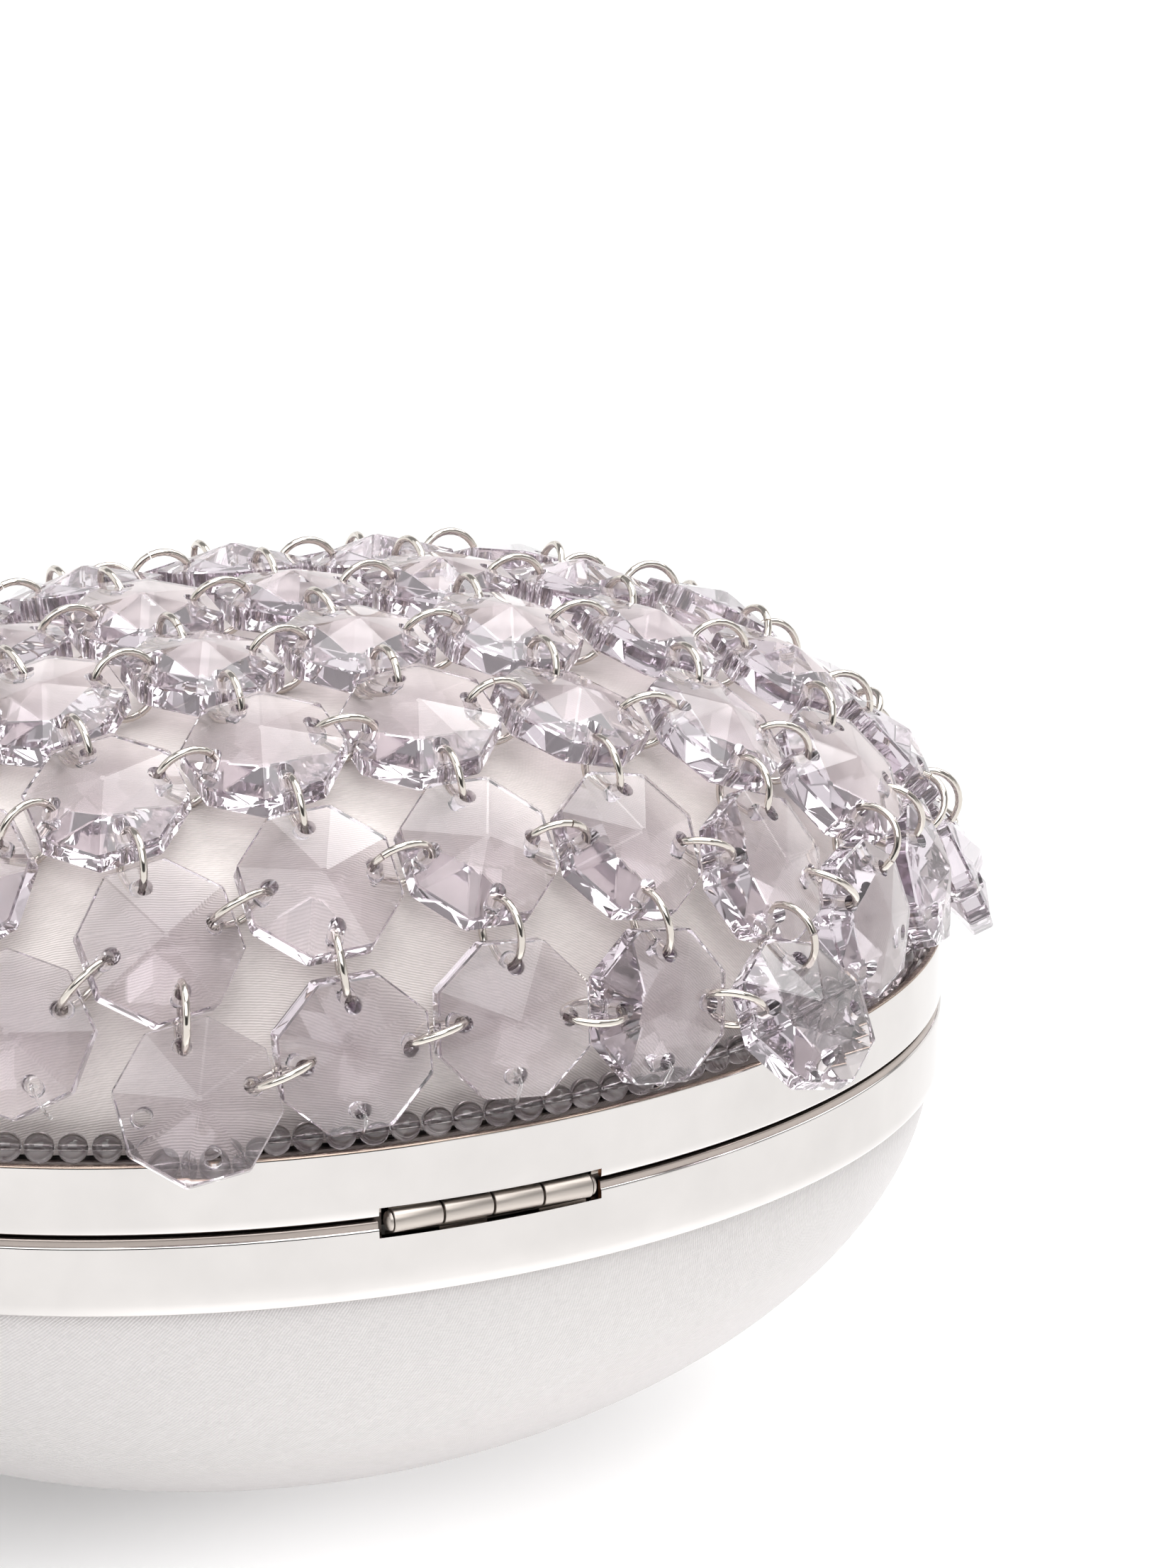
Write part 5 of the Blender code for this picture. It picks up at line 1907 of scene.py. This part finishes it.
    def build(self) -> None:
        """Strings the net row by row."""
        random = np.random.default_rng(self.seed)
        laid = self.layout.hang()
        stones = {key: self.unsettle(key, laid, random) for key in laid}
        crystal = self.crystal()
        ring = self.ring()
        rows = sorted({row for _, row in stones})
        for number, row in enumerate(rows, start=1):
            gems = []
            links = []
            for key, stone in stones.items():
                if key[1] != row:
                    continue
                turn = Matrix((Vector(stone.along), Vector(stone.across), Vector(stone.normal))).transposed().to_4x4()
                gems.append(Bench.copy(crystal, Matrix.Translation(Vector(stone.centre)) @ turn))
                for beside in ((key[0] + 1, row), (key[0], row + 1)):
                    if beside in stones:
                        links.append(self.lay_link(ring, stone, stones[beside], random))
            node = f"crystal_row_{number}"
            finish_piece(Bench.join(f"{node}_crystals", gems), CLEAR_CRYSTAL, Body.LID, [node])
            if links:
                finish_piece(Bench.join(f"{node}_rings", links), RING_SILVER, Body.LID, [node])
        for number, key in enumerate(self.tied, start=1):
            if key in stones:
                self.tie(f"nylon_tie_{number}", stones[key])
        for model in (crystal, ring):
            bpy.data.objects.remove(model, do_unlink=True)


@dataclass
class BarrelHinge:
    """Four brushed knuckles on a domed pin, with a leaf inside each band."""

    length: float = 0.0206
    knuckles: int = 4
    gap: float = 0.0002
    bore: float = 0.0006
    pin_radius: float = 0.00043
    head_length: float = 0.0005
    head_radius: float = 0.00095
    leaf_thickness: float = 0.0005
    leaf_height: float = 0.0036
    leaf_segments: int = 200
    edge: float = 0.00012
    edge_facets: int = 3
    knuckle_sides: int = 40
    pin_sides: int = 32
    rim_share: float = 0.98
    same_end: float = 0.00002
    web_share: float = 0.75
    web_edge: float = 0.00008
    barrel_sharp: float = 35.0
    dome: tuple[tuple[float, float], ...] = ((0.0, 1.0), (0.35, 0.97), (0.65, 0.82), (0.88, 0.56), (1.0, 0.22))

    def spans(self) -> list[tuple[float, float]]:
        """Lists the knuckles.

        Returns:
            Start and end of each.
        """
        start = -self.length / 2 + self.head_length
        pitch = (self.length - 2 * self.head_length) / self.knuckles
        return [
            (start + pitch * number + self.gap / 2, start + pitch * (number + 1) - self.gap / 2)
            for number in range(self.knuckles)
        ]

    def knuckle(self, low: float, high: float) -> bpy.types.Object:
        """Makes one knuckle with its bore and rounded ends.

        Args:
            low: X of its start.
            high: X of its end.

        Returns:
            The knuckle.
        """
        tube = Bench.rod("knuckle", low, high, SIZES.knuckle_radius, self.knuckle_sides)
        Bench.edit(tube)
        Bench.pick(tube, "FACE", lambda face: abs(face.normal.x) > FACES_ROUGHLY)
        bpy.ops.mesh.inset(thickness=SIZES.knuckle_radius - self.bore, use_individual=True)
        bpy.ops.mesh.bridge_edge_loops()
        Bench.pick(
            tube,
            "EDGE",
            lambda edge: abs(edge.verts[0].co.x - edge.verts[1].co.x) < self.same_end
            and all(self.off_axis(vert.co) > SIZES.knuckle_radius * self.rim_share for vert in edge.verts),
        )
        bpy.ops.mesh.bevel(offset=self.edge, segments=self.edge_facets, affect="EDGES")
        Bench.outward()
        Bench.done()
        return tube

    def off_axis(self, point: Vector) -> float:
        """Says how far a point is from the hinge axis."""
        return math.hypot(point.y - SIZES.hinge_y, point.z - SIZES.parting)

    def leaf(self, node: str, parity: int, way: float, body: Body) -> None:
        """Builds one leaf with its own two knuckles.

        Args:
            node: The CAD node that it stands for.
            parity: 0 for the first and third knuckle, 1 for the others.
            way: 1 for the leaf above the axis, -1 for the one below.
            body: The body that it rides on.
        """
        near = SIZES.parting + way * SIZES.hinge_slot_height / 2
        far = near + way * self.leaf_height
        inset = SIZES.lip_inset
        inner = inset + self.leaf_thickness
        corners = [(inset, near, 0.0), (inner, near, self.edge), (inner, far, self.edge), (inset, far, self.edge)]
        plate = Bench.sweep_oval(f"{node}_plate", round_corners(corners, 3), self.leaf_segments, closed=True)
        half = self.length / 2 - self.head_length
        Bench.trim(plate, (((half, 0, 0), (-1, 0, 0)), ((-half, 0, 0), (1, 0, 0)), ((0, 0, 0), (0, -1, 0))))
        parts = [plate]
        outer = -SIZES.half_y + inset + SIZES.touch_gap
        for number, (low, high) in enumerate(self.spans()):
            if number % 2 != parity:
                continue
            ends = sorted((SIZES.parting + way * SIZES.knuckle_radius * self.web_share, near + way * SIZES.touch_gap))
            corner = (high, outer + self.leaf_thickness, ends[1])
            parts.append(Bench.soft_block("web", (low, outer, ends[0]), corner, self.web_edge))
            parts.append(self.knuckle(low, high))
        leaf = Bench.join(f"{node}_barrel", parts)
        Bench.smooth(leaf, self.barrel_sharp)
        finish_piece(leaf, BRUSHED_NICKEL, body, [node])

    def pin(self) -> None:
        """Builds the pin with a dome over each end of the barrel."""
        half = self.length / 2
        length = half - self.head_length
        rod = Bench.rod("hinge_pin_domed", -length, length, self.pin_radius, self.pin_sides)
        for way in (1.0, -1.0):
            Bench.edit(rod)
            end = half - self.head_length - self.gap
            Bench.pick(
                rod,
                "FACE",
                lambda face, way=way: face.normal.x * way > FACES_ROUGHLY and face.calc_center_median().x * way > end,
            )
            centre = (way * (half - self.head_length), SIZES.hinge_y, SIZES.parting)
            radius = self.pin_radius
            before = 0.0
            for out, wide in self.dome:
                Bench.pull((way * (out - before) * self.head_length, 0.0, 0.0))
                grown = self.head_radius * wide / radius
                Bench.grow(1.0, grown, grown, centre)
                radius = self.head_radius * wide
                before = out
            Bench.outward()
            Bench.done()
        Bench.smooth(rod, SIZES.sharp_angle)
        finish_piece(rod, BRUSHED_NICKEL, Body.BASE, ["hinge_pin"])

    def build(self) -> None:
        """Builds both leaves and the pin."""
        self.leaf("hinge_lid_leaf", 0, 1.0, Body.LID)
        self.leaf("hinge_base_leaf", 1, -1.0, Body.BASE)
        self.pin()


@dataclass
class PushClasp:
    """Push button with its bolt, catch, bracket and spring, at the front."""

    width: float = 0.008
    height: float = 0.003
    proud: float = 0.0012
    travel: float = 0.0012
    rise: float = 0.0033
    edge: float = 0.0005
    bolt_width: float = 0.005
    bolt_thickness: float = 0.001
    tooth_width: float = 0.0036
    tooth_height: float = 0.0008
    engagement: float = 0.0004
    lip_thickness: float = 0.0005
    catch_rise: float = 0.0014
    bar_height: float = 0.0009
    spring_radius: float = 0.0011
    wire_radius: float = 0.00015
    turns: int = 3
    turn_steps: int = 24
    wire_sides: int = 6
    reserve: float = 0.0004

    @property
    def catch_inner(self) -> float:
        """Y of the catch's inner face."""
        return SIZES.half_y - SIZES.lip_inset - self.lip_thickness

    @property
    def bolt_inner(self) -> float:
        """Y of the bolt's inner face."""
        return self.catch_inner - SIZES.touch_gap - self.engagement / 2 - self.bolt_thickness

    @property
    def level(self) -> float:
        """Level of the button's centre."""
        return SIZES.parting + self.rise

    def build_button(self) -> None:
        """Builds the button's rounded cap, its bolt and its tooth."""
        bolt_outer = self.catch_inner - SIZES.touch_gap - self.engagement / 2
        top = SIZES.parting + self.catch_rise - self.bar_height - SIZES.touch_gap
        half = self.width / 2
        low = (-half, self.bolt_inner, self.level - self.height / 2)
        high = (half, SIZES.half_y + self.proud, self.level + self.height / 2)
        cap = Bench.soft_block("cap", low, high, self.edge)
        half_bolt = self.bolt_width / 2
        low = (-half_bolt, self.bolt_inner, top - self.tooth_height)
        bolt = Bench.soft_block("bolt", low, (half_bolt, bolt_outer, self.level), SIZES.fine_edge)
        half_tooth = self.tooth_width / 2
        low = (-half_tooth, self.bolt_inner + SIZES.touch_gap, top - self.tooth_height)
        high = (half_tooth, self.catch_inner + self.engagement, top)
        tooth = Bench.soft_block("tooth", low, high, SIZES.fine_edge)
        button = Bench.join("push_button", [cap, bolt, tooth])
        Bench.smooth(button, SIZES.sharp_angle)
        finish_piece(button, POLISHED_SILVER, Body.BUTTON, ["clasp_button"])

    def build_spring(self) -> None:
        """Winds the spring, which the button presses together."""
        length = self.travel + (self.turns + 1) * 2 * self.wire_radius + self.reserve
        front = self.bolt_inner - SIZES.touch_gap - self.wire_radius
        run = length - 2 * self.wire_radius
        steps = self.turns * self.turn_steps
        path = []
        for step in range(steps + 1):
            turn = 2 * math.pi * step / self.turn_steps
            rise = self.spring_radius * math.sin(turn)
            path.append((self.spring_radius * math.cos(turn), front - run * step / steps, self.level + rise))
        spring = Bench.tube("coil_spring", path, self.wire_radius, self.wire_sides)
        finish_piece(spring, SPRING_STEEL, Body.LID, ["clasp_spring"])
        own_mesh(spring)

    def build(self) -> None:
        """Builds the button and spring, and finishes the catch and bracket."""
        self.build_button()
        self.build_spring()
        for node in ("clasp_catch", "clasp_bracket"):
            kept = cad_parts[node]
            for slot in kept.material_slots:
                slot.material = BRUSHED_NICKEL.material()
            LOG.info("%s: CAD node with a new finish", node)


class SoftBox(NamedTuple):
    """A soft box, or a dark flag of negative light: its place in degrees, half sizes as slopes."""

    azimuth: float
    elevation: float
    half_width: float
    half_height: float
    strength: float
    fade: float = 1.15


@dataclass
class Studio:
    """White table, soft light and the camera of the photograph."""

    azimuth: float = -25.06
    elevation: float = 18.51
    distance: float = 0.536
    shift_right: float = 0.0291
    shift_up: float = 0.02365
    focal: float = 126.8
    sensor: float = 36.0
    light_bounces: int = 32
    # Painted light: the table's base colour is lighter within near_reach of the bag than beyond far_reach.
    near_tone: float = 0.76
    far_tone: float = 0.66
    # Painted light: the table glows with left_glow everywhere, rising to right_glow on the camera's right near the bag.
    left_glow: float = 0.13
    right_glow: float = 0.42
    glow_start: float = -0.045
    glow_end: float = 0.01
    near_reach: float = 0.09
    far_reach: float = 0.13
    wall_light: float = 0.97
    room_light: float = 0.33
    least_light: float = 0.06
    wall_top: float = 0.1
    room_start: float = 0.34
    table_size: float = 8.0
    table_roughness: float = 0.9
    near_clip: float = 0.01
    boxes: tuple[SoftBox, ...] = (
        SoftBox(80.0, 76.0, 0.42, 0.42, 3.4),
        SoftBox(80.0, 46.0, 0.22, 0.26, 2.6),
        SoftBox(-65.0, 35.0, 0.35, 0.45, 0.8),
        SoftBox(25.0, 22.0, 0.9, 0.16, 0.7),
        SoftBox(-155.0, 48.0, 0.6, 0.32, 2.35),
        SoftBox(-155.0, 12.0, 0.75, 0.2, -0.9),
    )

    @property
    def camera_right(self) -> Vector:
        """The camera's direction to the right."""
        turn = math.radians(self.azimuth)
        return Vector((math.cos(turn), math.sin(turn), 0.0))

    def camera(self) -> None:
        """Places the camera."""
        turn = math.radians(self.azimuth)
        tip = math.radians(self.elevation)
        back = Vector((math.sin(turn) * math.cos(tip), -math.cos(turn) * math.cos(tip), math.sin(tip)))
        right = self.camera_right
        up = back.cross(right)
        data = bpy.data.cameras.new("camera")
        data.lens = self.focal
        data.sensor_width = self.sensor
        data.sensor_fit = "AUTO"
        data.clip_start = self.near_clip
        camera = bpy.data.objects.new("camera", data)
        bpy.context.scene.collection.objects.link(camera)
        aim = Vector((0.0, 0.0, SIZES.parting))
        spot = aim + back * self.distance + right * self.shift_right + up * self.shift_up
        camera.matrix_world = Matrix.Translation(spot) @ Matrix((right, up, back)).transposed().to_4x4()
        bpy.context.scene.camera = camera

    def fade(
        self, nodes: Nodes, value: Output, span: tuple[float, float], ends: tuple[float, float]
    ) -> bpy.types.Node:
        """Maps a value softly from a span to two ends.

        Args:
            nodes: The nodes to add to.
            value: Node and output that give the value.
            span: Where the change starts and ends.
            ends: What comes out before and after it.

        Returns:
            The mapping node.
        """
        limits = {"From Min": span[0], "From Max": span[1], "To Min": ends[0], "To Max": ends[1]}
        node = nodes.add("MapRange", limits, interpolation_type="SMOOTHSTEP")
        nodes.join(value[0], value[1], node, "Value")
        return node

    def floor(self) -> None:
        """Lays a white table whose glow and tone are painted light: it glows more on the camera's right near the bag
        and is lighter near the bag, which lightens the shadow under the bag except at its left.
        """
        Bench.clear()
        bpy.ops.mesh.primitive_plane_add(size=self.table_size, location=(0.0, 0.0, 0.0))
        floor = Bench.take("white_table")
        made = bpy.data.materials.new("white table")
        made.use_nodes = True
        shader = made.node_tree.nodes["Principled BSDF"]
        shader.inputs["Roughness"].default_value = self.table_roughness
        shader.inputs["Specular IOR Level"].default_value = 0.0
        shader.inputs["Emission Strength"].default_value = 1.0
        nodes = Nodes(made.node_tree)
        place = nodes.add("TexCoord")
        reach = nodes.add("VectorMath", operation="LENGTH")
        nodes.join(place, "Object", reach, 0)
        tone = self.fade(nodes, (reach, "Value"), (self.near_reach, self.far_reach), (self.near_tone, self.far_tone))
        nodes.join(tone, 0, shader, "Base Color")
        aside = nodes.add("VectorMath", operation="DOT_PRODUCT")
        aside.inputs[1].default_value = self.camera_right
        nodes.join(place, "Object", aside, 0)
        near = self.fade(nodes, (reach, "Value"), (self.near_reach, self.far_reach), (1.0, 0.0))
        more = self.right_glow - self.left_glow
        extra = self.fade(nodes, (aside, "Value"), (self.glow_start, self.glow_end), (0.0, more))
        extra = nodes.sum("MULTIPLY", (extra, 0), (near, 0))
        glow = nodes.sum("ADD", (extra, 0), self.left_glow)
        nodes.join(glow, 0, shader, "Emission Color")
        floor.data.materials.append(made)

    def panel(self, nodes: Nodes, place: bpy.types.Node, box: SoftBox) -> bpy.types.Node:
        """Adds one rectangular soft box to the sky.

        Args:
            nodes: The sky's nodes.
            place: The node that gives the direction looked in.
            box: The soft box.

        Returns:
            The node that gives its light.
        """
        turn = math.radians(box.azimuth)
        tip = math.radians(box.elevation)
        centre = Vector((math.sin(turn) * math.cos(tip), math.cos(turn) * math.cos(tip), math.sin(tip)))
        right = Vector((math.cos(turn), -math.sin(turn), 0.0))
        parts = []
        for axis in (centre, right, right.cross(centre)):
            part = nodes.add("VectorMath", operation="DOT_PRODUCT")
            part.inputs[1].default_value = axis
            nodes.join(place, "Generated", part, 0)
            parts.append(part)
        total = nodes.sum("GREATER_THAN", (parts[0], "Value"), 0.0)
        for part, half in ((parts[1], box.half_width), (parts[2], box.half_height)):
            slope = nodes.sum("DIVIDE", (part, "Value"), (parts[0], "Value"))
            away = nodes.sum("ABSOLUTE", (slope, 0), 0.0)
            mask = self.fade(nodes, (away, 0), (half, half * box.fade), (1.0, 0.0))
            total = nodes.sum("MULTIPLY", (total, 0), (mask, 0))
        return nodes.sum("MULTIPLY", (total, 0), box.strength)

    def light(self) -> None:
        """Sets a soft grey room with a white wall all round and its soft boxes."""
        world = bpy.data.worlds.new("soft studio")
        bpy.context.scene.world = world
        world.use_nodes = True
        nodes = Nodes(world.node_tree)
        background = world.node_tree.nodes["Background"]
        background.inputs["Color"].default_value = (1.0, 1.0, 1.0, 1.0)
        place = nodes.add("TexCoord")
        split = nodes.add("SeparateXYZ")
        nodes.join(place, "Generated", split, 0)
        span = (self.wall_top, self.room_start)
        total = self.fade(nodes, (split, "Z"), span, (self.wall_light, self.room_light))
        for box in self.boxes:
            total = nodes.sum("ADD", (total, 0), (self.panel(nodes, place, box), 0))
        total = nodes.sum("MAXIMUM", (total, 0), self.least_light)
        nodes.join(total, 0, background, "Strength")

    def build(self) -> None:
        """Sets up table, light and camera."""
        bpy.context.scene.view_settings.view_transform = "Standard"
        for kind in ("max_bounces", "transmission_bounces", "glossy_bounces"):
            setattr(bpy.context.scene.cycles, kind, self.light_bounces)
        self.floor()
        self.light()
        self.camera()


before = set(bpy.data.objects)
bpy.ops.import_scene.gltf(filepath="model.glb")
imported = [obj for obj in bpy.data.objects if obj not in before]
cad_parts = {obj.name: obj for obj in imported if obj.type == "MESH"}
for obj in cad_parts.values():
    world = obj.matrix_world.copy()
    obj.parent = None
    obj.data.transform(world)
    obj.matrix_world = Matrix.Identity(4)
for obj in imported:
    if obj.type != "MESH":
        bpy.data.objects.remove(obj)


def main() -> None:
    """Builds every sub-assembly in order."""
    logging.basicConfig(level=logging.INFO, format="%(name)s %(message)s", stream=sys.stdout)
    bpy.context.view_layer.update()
    builders = [
        Studio(), FrameBands(), ClosingLips(), Skins(), SeedBeads(), CrystalNet(NetLayout()), BarrelHinge(), PushClasp()
    ]
    for builder in builders:
        LOG.info("building %s", type(builder).__name__)
        builder.build()
    Bench.clear()


if __name__ == "__main__":
    main()
